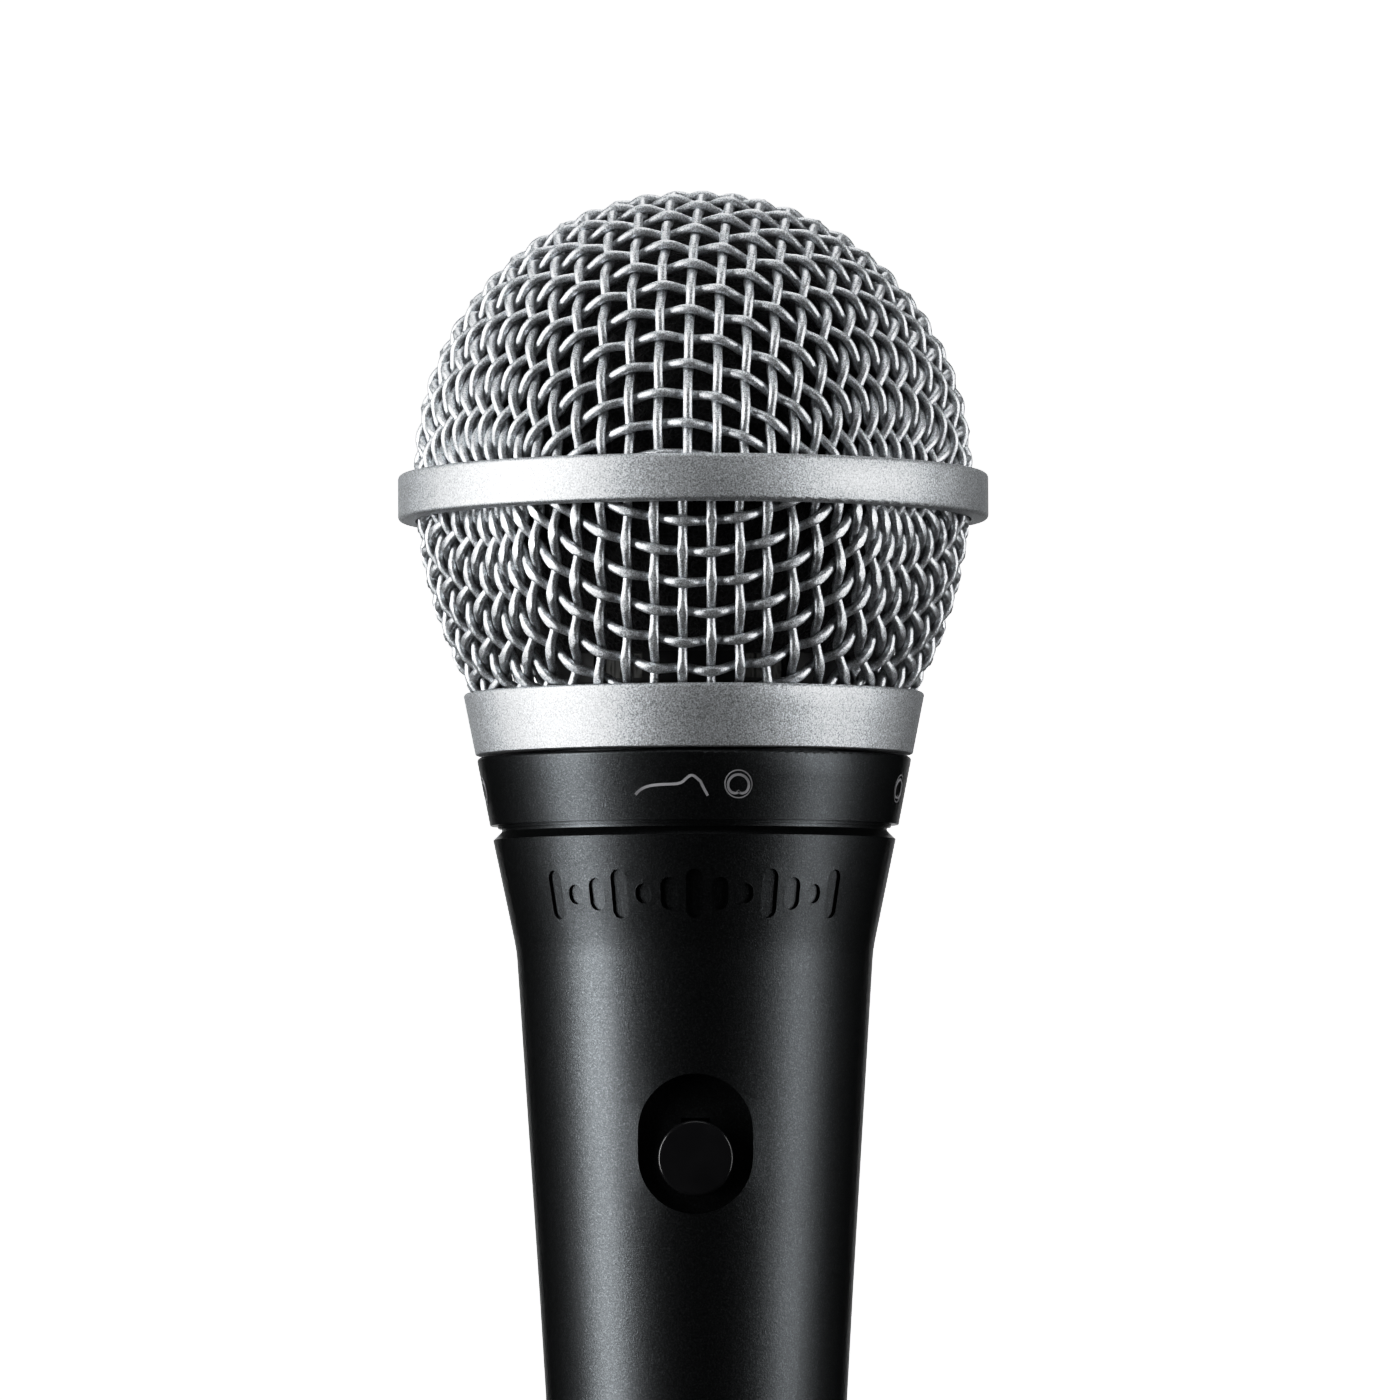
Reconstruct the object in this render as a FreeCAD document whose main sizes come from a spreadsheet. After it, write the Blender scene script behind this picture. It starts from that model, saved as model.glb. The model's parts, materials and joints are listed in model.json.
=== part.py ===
import FreeCAD, Part
import math
import os
import re

import Sketcher

# Driving dimensions in millimetres and degrees. Heights are measured up from the bottom rim of
# the handle, radii from the microphone's axis, and depths back from the front of the handle.
SIZES = {
    # Woven grille: a dome over a bowl, each clipped into the band between them
    "dome_radius": 25.0,
    "dome_centre": 139.0,
    "mesh_thickness": 1.6,
    "bowl_curve": 37.7,
    "bowl_offset": 12.7,
    "bowl_centre": 137.7,
    "skirt_bottom": 117.2,
    "band_radius": 26.5,
    "band_bottom": 134.4,
    "web_bottom": 135.9,
    "web_top": 137.0,
    "band_top": 138.5,
    "band_round": 0.4,
    "collar_bottom": 113.38,
    "collar_top": 118.9,
    "collar_low_radius": 19.6,
    "collar_high_radius": 20.7,
    "collar_high_round": 0.3,
    "collar_low_round": 0.15,
    "grille_thread_radius": 16.5,
    "thread_lift": 4.0,
    # Foam inside the grille
    "foam_thickness": 3.0,
    "foam_gap": 0.1,
    "foam_running_gap": 0.3,
    "bowl_foam_thickness": 2.5,
    "bowl_foam_bottom": 122.0,
    "bowl_foam_top": 136.7,
    # Handle, from the cable socket up
    "mouth_radius": 8.3,
    "mouth_depth": 2.4,
    "socket_radius": 8.1,
    "socket_step": 0.2,
    "socket_end": 21.9,
    "base_radius": 11.75,
    "base_round": 0.6,
    "flare_curve": 1134.0,
    "grip_height": 65.96,
    "grip_radius": 14.05,
    "bend_height": 95.9,
    "bend_radius": 15.97,
    "bend_blend": 12.0,
    "rim_height": 105.75,
    "rim_radius": 18.03,
    "groove_height": 106.5,
    "groove_radius": 17.25,
    "ring_bottom": 107.05,
    "ring_top": 113.12,
    "spigot_radius": 16.9,
    "thread_radius": 16.2,
    "handle_top": 117.3,
    "thread_chamfer": 0.4,
    "cartridge_bore": 14.6,
    "bore_shoulder": 96.5,
    "bore_shoulder_slope": 0.7,
    "cavity_high_radius": 13.9,
    "cavity_high": 92.0,
    "cavity_middle_radius": 12.4,
    "cavity_low_radius": 10.4,
    "cavity_low": 24.2,
    "keyway_width": 3.0,
    "keyway_depth": 0.9,
    "keyway_length": 12.0,
    # Neck ring
    "ring_low_radius": 18.3,
    "ring_high_radius": 19.5,
    "ring_lip_radius": 17.6,
    "ring_lip_bottom": 106.8,
    "ring_round": 0.3,
    # Row of sunk bars round the front of the handle's shoulder
    "bars_height": 100.6,
    "bar_width": 1.5,
    "bar_length": 4.3,
    "bar_step": 7.6,
    "bar_depth": 0.3,
    # Slide switch
    "switch_height": 78.7,
    "switch_travel": 2.5,
    "recess_radius": 5.05,
    "recess_half_straight": 1.1,
    "recess_floor": 13.0,
    "boss_half_width": 7.0,
    "boss_radius": 14.0,
    "boss_back": 10.6,
    "boss_bottom": 70.0,
    "boss_length": 17.5,
    "slot_half_width": 1.25,
    "slot_half_height": 2.25,
    "button_radius": 3.325,
    "button_back": 13.1,
    "button_front": 14.9,
    "button_round": 0.3,
    "stem_half_width": 1.0,
    "stem_half_height": 0.8,
    "stem_back": 11.0,
    "frame_half_width": 4.4,
    "frame_half_height": 8.3,
    "frame_sheet": 0.5,
    "can_half_height": 5.2,
    "can_back": 5.6,
    "slider_half_width": 3.6,
    "slider_half_height": 3.0,
    "slider_front": 9.9,
    "slider_back": 7.4,
    "base_half_width": 3.8,
    "base_half_height": 4.6,
    "base_thickness": 1.0,
    "tab_width": 1.0,
    "tab_thickness": 0.4,
    "tab_length": 2.4,
    "tab_spacing": 3.5,
    "screw_offset": 6.7,
    "screw_radius": 0.8,
    "screw_length": 2.0,
    "screw_head_radius": 1.4,
    "screw_head_length": 0.9,
    # Rubber ring and cartridge
    "housing_radius": 13.6,
    "housing_bore": 12.6,
    "housing_bottom": 108.5,
    "housing_floor": 110.0,
    "housing_top": 127.5,
    "tuning_hole": 3.0,
    "mount_bottom": 110.0,
    "mount_flange_radius": 15.9,
    "mount_flange": 2.0,
    "port_bottom": 119.7,
    "port_height": 2.2,
    "port_half_width": 2.5,
    "port_cloth_thickness": 0.3,
    "cup_radius": 10.6,
    "cup_bore": 9.6,
    "cup_floor": 1.8,
    "magnet_radius": 5.6,
    "plate_bottom": 118.6,
    "plate_top": 121.0,
    "plate_bore": 6.9,
    "pole_radius": 5.8,
    "seat_bore": 9.4,
    "seat_flange_bottom": 122.3,
    "seat_top": 123.1,
    "film": 0.15,
    "film_clamp_radius": 11.2,
    "dome_edge_radius": 6.55,
    "dome_rise": 1.6,
    "roll_rise": 0.9,
    "coil_thickness": 0.4,
    "coil_length": 4.9,
    "clamp_bore": 11.4,
    "cap_lip_bottom": 126.0,
    "cap_bottom": 127.9,
    "cap_top": 129.0,
    "cap_lip": 1.0,
    "cap_hole_radius": 1.15,
    "cap_inner_circle": 4.2,
    "cap_outer_circle": 8.6,
    "screen_radius": 12.4,
    "screen_thickness": 0.6,
    "chamber_radius": 13.4,
    "chamber_wall": 1.2,
    "chamber_bottom": 97.5,
    "board_radius": 10.0,
    "board_thickness": 1.2,
    "terminal_offset": 4.0,
    "terminal_width": 1.5,
    "terminal_thickness": 0.6,
    "terminal_length": 3.5,
    # Output transformer and its sleeve
    "core_bottom": 37.0,
    "core_height": 14.0,
    "core_half_width": 7.0,
    "core_half_depth": 3.0,
    "leg_half_width": 2.2,
    "window_width": 2.8,
    "window_margin": 2.5,
    "bobbin_wall": 0.6,
    "flange_half_width": 4.9,
    "flange_half_depth": 6.0,
    "winding_inset": 0.4,
    "sleeve_bore": 7.8,
    "sleeve_bottom": 38.5,
    "sleeve_top": 49.5,
    # Connector
    "insert_bottom": 14.0,
    "insert_top": 21.0,
    "pin_circle": 4.05,
    "pin_radius": 1.2,
    "pin_tip": 3.0,
    "pin_tip_round": 0.8,
    "shank_radius": 1.0,
    "solder_cup_radius": 1.3,
    "solder_cup_bore": 0.8,
    "solder_cup_top": 24.5,
    "solder_cup_floor": 22.5,
    "set_screw_height": 17.5,
    "set_screw_radius": 1.5,
    "set_screw_length": 2.8,
    "hex_radius": 0.85,
    "hex_depth": 1.2,
    # Leads
    "lead_radius": 0.5,
    "coil_lead_offset": 2.5,
    "coil_lead_depth": 4.8,
    # How far a cutting shape reaches past the surface that it opens
    "cut_margin": 1.0,
}

PIN_ANGLES = {"contact_pin_1": 180, "contact_pin_2": 0, "contact_pin_3": 270}
BARS_EACH_SIDE = 6
BAR_PATTERN = (1.0, 0.66, 0.4)
PORT_COUNT = 6
INNER_HOLES = 6
OUTER_HOLES = 12
# How much of the shorter run beside a lead's corner its arc takes up
ARC_SHARE = 0.45

doc = FreeCAD.newDocument("Microphone")
sheet = doc.addObject("Spreadsheet::Sheet", "Sizes")
for row, (size_name, size_value) in enumerate(SIZES.items(), start=1):
    sheet.set(f"A{row}", size_name)
    sheet.set(f"B{row}", str(size_value))
    sheet.setAlias(f"B{row}", size_name)
doc.recompute()


def cells(formula):
    """Point every size named in a formula at its spreadsheet cell."""
    return re.sub(r"[A-Za-z_]\w*", lambda word: "Sizes." + word[0] if word[0] in SIZES else word[0], formula)


def number(formula):
    return float(sheet.evalExpression(cells(formula)))


# ---------------------------------------------------------------- sketches and features

def new_body(name):
    body = doc.addObject("PartDesign::Body", name)
    body.Label = name
    return body


def new_sketch(body, role, offset="0"):
    """Attach a sketch to one of the body's own origin planes, moved along the plane's normal."""
    sketch = body.newObject("Sketcher::SketchObject", "Sketch")
    plane = next(item for item in body.Origin.OriginFeatures if item.Role == role)
    sketch.AttachmentSupport = [(plane, "")]
    sketch.MapMode = "FlatFace"
    sketch.setExpression("AttachmentOffset.Base.z", cells(offset))
    return sketch


def place_point(sketch, item, end, across, up):
    """Dimension one point of a sketch from the origin."""
    for kind, axis, formula in (("DistanceX", -2, across), ("DistanceY", -1, up)):
        if formula == "0":
            sketch.addConstraint(Sketcher.Constraint("PointOnObject", item, end, axis))
        else:
            index = sketch.addConstraint(Sketcher.Constraint(kind, -1, 1, item, end, number(formula)))
            sketch.setExpression(f"Constraints[{index}]", cells(formula))


def set_radius(sketch, item, formula):
    index = sketch.addConstraint(Sketcher.Constraint("Radius", item, number(formula)))
    sketch.setExpression(f"Constraints[{index}]", cells(formula))


def arc_between(start, stop, radius):
    """An arc of less than half a turn: a positive radius turns left, a negative one right."""
    side = math.copysign(1, radius)
    chord = stop - start
    left = FreeCAD.Vector(-chord.y, chord.x).normalize()
    sag = math.sqrt(max(radius ** 2 - (chord.Length / 2) ** 2, 0))
    centre = (start + stop) / 2 + left * side * sag
    first, last = (start, stop) if side > 0 else (stop, start)
    circle = Part.Circle(centre, FreeCAD.Vector(0, 0, 1), abs(radius))
    angles = [math.atan2(point.y - centre.y, point.x - centre.x) for point in (first, last)]
    return Part.ArcOfCircle(circle, *angles)


def draw_outline(sketch, corners):
    """Draw a closed outline of (across, up) corners. A third item in a corner is the radius of
    the arc that leads on to the next corner."""
    points = [FreeCAD.Vector(number(corner[0]), number(corner[1])) for corner in corners]
    ends = []
    for index, corner in enumerate(corners):
        following = points[(index + 1) % len(points)]
        if len(corner) == 3:
            radius = number(corner[2])
            sketch.addGeometry(arc_between(points[index], following, radius))
            ends.append((1, 2) if radius > 0 else (2, 1))
        else:
            sketch.addGeometry(Part.LineSegment(points[index], following))
            ends.append((1, 2))
    for index, corner in enumerate(corners):
        place_point(sketch, index, ends[index][0], corner[0], corner[1])
        if len(corner) == 3:
            set_radius(sketch, index, corner[2].lstrip("-"))
    for index in range(len(corners)):
        following = (index + 1) % len(corners)
        joint = Sketcher.Constraint("Coincident", index, ends[index][1], following, ends[following][0])
        sketch.addConstraint(joint)


def draw_rectangle(sketch, half_width, half_height, across="0", up="0"):
    left = f"{across} - ({half_width})"
    right = f"{across} + ({half_width})"
    low = f"{up} - ({half_height})"
    high = f"{up} + ({half_height})"
    draw_outline(sketch, [(left, low), (right, low), (right, high), (left, high)])


def draw_circle(sketch, across, up, radius):
    centre = FreeCAD.Vector(number(across), number(up))
    item = sketch.addGeometry(Part.Circle(centre, FreeCAD.Vector(0, 0, 1), number(radius)))
    place_point(sketch, item, 3, across, up)
    set_radius(sketch, item, radius)


def draw_slot(sketch, up, radius, half_straight):
    """Draw an upright slot with round ends, centred on the sketch's vertical axis."""
    size = number(radius)
    low = FreeCAD.Vector(0, number(f"{up} - {half_straight}"))
    high = FreeCAD.Vector(0, number(f"{up} + {half_straight}"))
    out = FreeCAD.Vector(size, 0)
    normal = FreeCAD.Vector(0, 0, 1)
    sketch.addGeometry(Part.ArcOfCircle(Part.Circle(low, normal, size), math.pi, 2 * math.pi))
    sketch.addGeometry(Part.LineSegment(low + out, high + out))
    sketch.addGeometry(Part.ArcOfCircle(Part.Circle(high, normal, size), 0, math.pi))
    sketch.addGeometry(Part.LineSegment(high - out, low - out))
    for item in range(4):
        sketch.addConstraint(Sketcher.Constraint("Tangent", item, 2, (item + 1) % 4, 1))
    sketch.addConstraint(Sketcher.Constraint("Equal", 0, 2))
    place_point(sketch, 0, 3, "0", f"{up} - {half_straight}")
    place_point(sketch, 2, 3, "0", f"{up} + {half_straight}")
    set_radius(sketch, 0, radius)


def turned(name, corners):
    """A round piece: an outline of (radius, height) corners turned about the axis."""
    body = new_body(name)
    sketch = new_sketch(body, "XZ_Plane")
    draw_outline(sketch, corners)
    feature = body.newObject("PartDesign::Revolution", "Turned")
    feature.Profile = sketch
    feature.ReferenceAxis = (sketch, ["V_Axis"])
    feature.Angle = 360
    doc.recompute()
    return body


def ring(name, inner, outer, bottom, top):
    return turned(name, [(inner, bottom), (outer, bottom), (outer, top), (inner, top)])


def pad(body, sketch, length):
    feature = body.newObject("PartDesign::Pad", "Pad")
    feature.Profile = sketch
    feature.setExpression("Length", cells(length))
    doc.recompute()
    return feature


def pocket(body, sketch, length, along_normal):
    """Cut a sketch out of the body and make sure that it removed something."""
    volume = body.Shape.Volume
    feature = body.newObject("PartDesign::Pocket", "Pocket")
    feature.Profile = sketch
    feature.Reversed = along_normal
    feature.setExpression("Length", cells(length))
    doc.recompute()
    if body.Shape.Volume >= volume:
        raise RuntimeError(f"{body.Label}: a pocket removed nothing")
    return feature


def around(body, feature, count):
    """Repeat a feature evenly round the axis."""
    pattern = body.newObject("PartDesign::PolarPattern", "Around")
    pattern.Originals = [feature]
    pattern.Axis = (feature.Profile[0], ["N_Axis"])
    pattern.Angle = 360
    pattern.Occurrences = count
    body.Tip = pattern
    doc.recompute()
    return pattern


def circular_edges(shape, places):
    """Names of the full-circle edges that lie at (radius, height) places."""
    wanted = [(number(radius), number(height)) for radius, height in places]
    names = []
    for index, edge in enumerate(shape.Edges, start=1):
        if not isinstance(edge.Curve, Part.Circle):
            continue
        for radius, height in wanted:
            same_height = math.isclose(edge.Curve.Center.z, height, abs_tol=0.01)
            if same_height and math.isclose(edge.Curve.Radius, radius, abs_tol=0.01):
                names.append(f"Edge{index}")
    if len(names) < len(wanted):
        raise RuntimeError("an edge to be rounded is missing")
    return names


def dress(body, kind, size_property, places, size):
    """Round or chamfer circular edges of a turned body."""
    base = body.Tip
    feature = body.newObject(f"PartDesign::{kind}", kind)
    feature.Base = (base, circular_edges(base.Shape, places))
    feature.setExpression(size_property, cells(size))
    body.Tip = feature
    doc.recompute()


def fillet(body, places, radius):
    dress(body, "Fillet", "Radius", places, radius)


def chamfer(body, places, size):
    dress(body, "Chamfer", "Size", places, size)


# ---------------------------------------------------------------- primitives and booleans

def bind_place(item, place):
    for axis, formula in zip("xyz", place):
        item.setExpression(f"Placement.Base.{axis}", cells(formula))


def box(name, low, high):
    """A block between two corners, each a list of three formulas."""
    block = doc.addObject("Part::Box", name)
    block.Label = name
    for side, start, stop in zip(("Length", "Width", "Height"), low, high):
        block.setExpression(side, cells(f"({stop}) - ({start})"))
    bind_place(block, low)
    return block


def cylinder(name, radius, length, place, direction=FreeCAD.Vector(0, 0, 1)):
    rod = doc.addObject("Part::Cylinder", name)
    rod.Label = name
    rod.setExpression("Radius", cells(radius))
    rod.setExpression("Height", cells(length))
    rod.Placement.Rotation = FreeCAD.Rotation(FreeCAD.Vector(0, 0, 1), direction)
    bind_place(rod, place)
    return rod


def cut(name, base, tool):
    result = doc.addObject("Part::Cut", name)
    result.Base = base
    result.Tool = tool
    result.Label = name
    return result


def joined(name, pieces):
    result = doc.addObject("Part::MultiFuse", name)
    result.Shapes = pieces
    result.Label = name
    return result


def grouped(name, pieces):
    """Separate solids of one node."""
    result = doc.addObject("Part::Compound", name)
    result.Links = pieces
    result.Label = name
    return result


# ---------------------------------------------------------------- grille head

BOWL_TOP_RADIUS = "sqrt(bowl_curve^2 - (bowl_centre - web_bottom)^2) - bowl_offset"
BOWL_TOP_BORE = "sqrt((bowl_curve - mesh_thickness)^2 - (bowl_centre - web_bottom)^2) - bowl_offset"
SKIRT_RADIUS = "sqrt(bowl_curve^2 - (bowl_centre - collar_top)^2) - bowl_offset"
SKIRT_BORE = "sqrt((bowl_curve - mesh_thickness)^2 - (bowl_centre - collar_top)^2) - bowl_offset"


def domed(name, radius, thickness, bottom):
    """A half-sphere shell with a short upright skirt."""
    bore = f"({radius} - {thickness})"
    return turned(name, [
        (bore, bottom),
        (radius, bottom),
        (radius, "dome_centre", radius),
        ("0", f"dome_centre + {radius}"),
        ("0", f"dome_centre + {bore}", f"-{bore}"),
        (bore, "dome_centre"),
    ])


def grille_dome_mesh():
    return domed("grille_dome_mesh", "dome_radius", "mesh_thickness", "web_top")


def grille_bowl_mesh():
    return turned("grille_bowl_mesh", [
        (SKIRT_BORE, "skirt_bottom"),
        (SKIRT_RADIUS, "skirt_bottom"),
        (SKIRT_RADIUS, "collar_top", "bowl_curve"),
        (BOWL_TOP_RADIUS, "web_bottom"),
        (BOWL_TOP_BORE, "web_bottom", "-(bowl_curve - mesh_thickness)"),
        (SKIRT_BORE, "collar_top"),
    ])


def grille_band():
    """The band's inner web parts the two meshes, which sit in a groove on each side of it."""
    band = turned("grille_band", [
        ("dome_radius - mesh_thickness", "web_bottom"),
        (BOWL_TOP_RADIUS, "web_bottom"),
        (BOWL_TOP_RADIUS, "band_bottom"),
        ("band_radius", "band_bottom"),
        ("band_radius", "band_top"),
        ("dome_radius", "band_top"),
        ("dome_radius", "web_top"),
        ("dome_radius - mesh_thickness", "web_top"),
    ])
    fillet(band, [("band_radius", "band_bottom"), ("band_radius", "band_top")], "band_round")
    return band


def grille_collar():
    collar = turned("grille_collar", [
        ("grille_thread_radius", "collar_bottom"),
        ("collar_low_radius", "collar_bottom"),
        ("collar_high_radius", "collar_top"),
        (SKIRT_RADIUS, "collar_top"),
        (SKIRT_RADIUS, "skirt_bottom"),
        ("grille_thread_radius", "skirt_bottom"),
    ])
    fillet(collar, [("collar_low_radius", "collar_bottom")], "collar_low_round")
    fillet(collar, [("collar_high_radius", "collar_top")], "collar_high_round")
    return collar


def foam_liner_dome():
    return domed("foam_liner_dome", "(dome_radius - mesh_thickness - foam_gap)", "foam_thickness", "web_top")


def foam_liner_bowl():
    """Its outside is the bowl's inside as it stands at the end of the thread, less a gap, so
    that the bowl can rise past it."""
    outer = "(bowl_curve - mesh_thickness - foam_running_gap)"
    inner = "(bowl_curve - mesh_thickness - foam_running_gap - bowl_foam_thickness)"

    def radius_at(curve, height):
        return f"sqrt({curve}^2 - (bowl_centre + thread_lift - {height})^2) - bowl_offset"

    return turned("foam_liner_bowl", [
        (radius_at(inner, "bowl_foam_bottom"), "bowl_foam_bottom"),
        (radius_at(outer, "bowl_foam_bottom"), "bowl_foam_bottom", outer),
        (radius_at(outer, "bowl_foam_top"), "bowl_foam_top"),
        (radius_at(inner, "bowl_foam_top"), "bowl_foam_top", f"-{inner}"),
    ])


# ---------------------------------------------------------------- handle

def handle_casting():
    """The tapered tube, with the switch boss inside its front wall."""
    body = turned("handle_casting", [
        ("mouth_radius", "0"),
        ("base_radius", "0", "-flare_curve"),
        ("grip_radius", "grip_height"),
        ("bend_radius", "bend_height"),
        ("rim_radius", "rim_height"),
        ("groove_radius", "groove_height"),
        ("groove_radius", "ring_bottom"),
        ("spigot_radius", "ring_bottom"),
        ("spigot_radius", "ring_top"),
        ("thread_radius", "ring_top"),
        ("thread_radius", "handle_top"),
        ("cartridge_bore", "handle_top"),
        ("cartridge_bore", "bore_shoulder + bore_shoulder_slope"),
        ("cavity_high_radius", "bore_shoulder"),
        ("cavity_high_radius", "cavity_high"),
        ("cavity_middle_radius", "grip_height"),
        ("cavity_low_radius", "cavity_low"),
        ("socket_radius", "socket_end"),
        ("socket_radius", "mouth_depth + socket_step"),
        ("mouth_radius", "mouth_depth"),
    ])
    fillet(body, [("base_radius", "0")], "base_round")
    fillet(body, [("bend_radius", "bend_height")], "bend_blend")
    chamfer(body, [("thread_radius", "handle_top")], "thread_chamfer")

    boss = new_sketch(body, "XY_Plane", "boss_bottom")
    edge = "-sqrt(boss_radius^2 - boss_half_width^2)"
    draw_outline(boss, [
        ("-boss_half_width", edge, "boss_radius"),
        ("boss_half_width", edge),
        ("boss_half_width", "-boss_back"),
        ("-boss_half_width", "-boss_back"),
    ])
    pad(body, boss, "boss_length")

    recess = new_sketch(body, "XZ_Plane", "recess_floor")
    draw_slot(recess, "switch_height", "recess_radius", "recess_half_straight")
    pocket(body, recess, "recess_floor", along_normal=True)

    slot = new_sketch(body, "XZ_Plane", "recess_floor")
    draw_rectangle(slot, "slot_half_width", "slot_half_height", up="switch_height")
    pocket(body, slot, "recess_floor - boss_back + cut_margin", along_normal=False)

    for side in ("-", "+"):
        screw_hole = new_sketch(body, "XZ_Plane", "boss_back")
        draw_circle(screw_hole, "0", f"switch_height {side} screw_offset", "screw_radius")
        pocket(body, screw_hole, "screw_length", along_normal=True)

    keyway = new_sketch(body, "XY_Plane")
    draw_rectangle(keyway, "keyway_width / 2", "keyway_depth", up="socket_radius")
    pocket(body, keyway, "keyway_length", along_normal=True)

    set_screw = new_sketch(body, "XZ_Plane")
    draw_circle(set_screw, "0", "set_screw_height", "set_screw_radius")
    pocket(body, set_screw, "base_radius * 2", along_normal=False)
    return body


def sunk_bars():
    """A row of round-ended bars round the shoulder, as deep as a thin skin of the cone."""
    slope = "((rim_radius - bend_radius) / (rim_height - bend_height))"
    low = "(bars_height - bar_length)"
    high = "(bars_height + bar_length)"

    def skin(radius_offset, height):
        return f"bend_radius + ({height} - bend_height) * {slope} {radius_offset}", height

    shell = turned("bar_skin", [
        skin("- bar_depth", low),
        skin("+ bar_depth", low),
        skin("+ bar_depth", high),
        skin("- bar_depth", high),
    ])
    bars = []
    for place in range(-BARS_EACH_SIDE, BARS_EACH_SIDE + 1):
        bar = new_body(f"bar_{place + BARS_EACH_SIDE}")
        sketch = new_sketch(bar, "XZ_Plane")
        share = BAR_PATTERN[abs(place) % len(BAR_PATTERN)]
        draw_slot(sketch, "bars_height", "bar_width / 2", f"(bar_length * {share} - bar_width) / 2")
        pad(bar, sketch, "band_radius")
        bar.setExpression("Placement.Rotation.Angle", cells(f"bar_step * {place}"))
        bars.append(bar)
    common = doc.addObject("Part::Common", "sunk_bars")
    common.Base = shell
    common.Tool = grouped("bar_row", bars)
    return common


def handle_shell():
    return cut("handle_shell", handle_casting(), sunk_bars())


def neck_ring():
    body = turned("neck_ring", [
        ("groove_radius", "ring_lip_bottom"),
        ("ring_lip_radius", "ring_lip_bottom"),
        ("ring_lip_radius", "ring_bottom"),
        ("ring_low_radius", "ring_bottom"),
        ("ring_high_radius", "ring_top"),
        ("spigot_radius", "ring_top"),
        ("spigot_radius", "ring_bottom"),
        ("groove_radius", "ring_bottom"),
    ])
    fillet(body, [("ring_high_radius", "ring_top")], "ring_round")
    return body


# ---------------------------------------------------------------- slide switch

REST_HEIGHT = "(switch_height - switch_travel / 2)"


def switch_button():
    """The round cap and the stem that reaches through the handle's wall, in the low position."""
    body = new_body("switch_button")
    cap = new_sketch(body, "XZ_Plane", "button_back")
    draw_circle(cap, "0", REST_HEIGHT, "button_radius")
    cylinder_pad = pad(body, cap, "button_front - button_back")
    middle = -number("(button_front + button_back) / 2")
    rims = [f"Edge{index}" for index, edge in enumerate(cylinder_pad.Shape.Edges, start=1)
            if isinstance(edge.Curve, Part.Circle) and edge.Curve.Center.y < middle]
    front = body.newObject("PartDesign::Fillet", "Fillet")
    front.Base = (cylinder_pad, rims)
    front.setExpression("Radius", cells("button_round"))
    body.Tip = front
    doc.recompute()
    stem = new_sketch(body, "XZ_Plane", "stem_back")
    draw_rectangle(stem, "stem_half_width", "stem_half_height", up=REST_HEIGHT)
    pad(body, stem, "button_back - stem_back")
    return body


def switch_slider():
    """The slider inside the can, with the lever that meets the button's stem."""
    block = box("slider_block",
                ("-slider_half_width", "-slider_front", f"{REST_HEIGHT} - slider_half_height"),
                ("slider_half_width", "-slider_back", f"{REST_HEIGHT} + slider_half_height"))
    lever = box("slider_lever",
                ("-stem_half_width", "-stem_back", f"{REST_HEIGHT} - stem_half_height"),
                ("stem_half_width", "-slider_front", f"{REST_HEIGHT} + stem_half_height"))
    return joined("switch_slider", [block, lever])


def switch_frame():
    """A steel can open at the back, on a strip that the two screws hold to the boss."""
    face = "(boss_back - frame_sheet)"
    strip = box("frame_strip",
                ("-frame_half_width", "-boss_back", "switch_height - frame_half_height"),
                ("frame_half_width", f"-{face}", "switch_height + frame_half_height"))
    can = box("frame_can",
              ("-frame_half_width", f"-{face}", "switch_height - can_half_height"),
              ("frame_half_width", "-can_back", "switch_height + can_half_height"))
    inside = "(can_half_height - frame_sheet)"
    room = box("frame_room",
               ("frame_sheet - frame_half_width", f"-{face}", f"switch_height - {inside}"),
               ("frame_half_width - frame_sheet", "-can_back + cut_margin", f"switch_height + {inside}"))
    window = box("frame_window",
                 ("-slot_half_width", "-boss_back - cut_margin", "switch_height - slot_half_height"),
                 ("slot_half_width", f"-{face} + cut_margin", "switch_height + slot_half_height"))
    holes = [cylinder(f"frame_hole_{index}", "screw_radius", "2 * frame_sheet",
                      ("0", "-boss_back - frame_sheet / 2", f"switch_height {side} screw_offset"),
                      FreeCAD.Vector(0, 1, 0))
             for index, side in enumerate(("-", "+"), start=1)]
    return cut("switch_frame", joined("frame_solid", [strip, can]),
               joined("frame_openings", [room, window] + holes))


def switch_base():
    """The insulating plate that closes the can."""
    return box("switch_base",
               ("-base_half_width", "-can_back - base_thickness / 2", "switch_height - base_half_height"),
               ("base_half_width", "-can_back + base_thickness / 2", "switch_height + base_half_height"))


def switch_terminals():
    back = "(-can_back + base_thickness / 2)"
    tabs = []
    for index, step in enumerate((-1, 0, 1), start=1):
        middle = f"(switch_height + tab_spacing * {step})"
        tabs.append(box(f"switch_tab_{index}",
                        ("-tab_width / 2", back, f"{middle} - tab_thickness / 2"),
                        ("tab_width / 2", f"{back} + tab_length", f"{middle} + tab_thickness / 2")))
    return grouped("switch_terminals", tabs)


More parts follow.
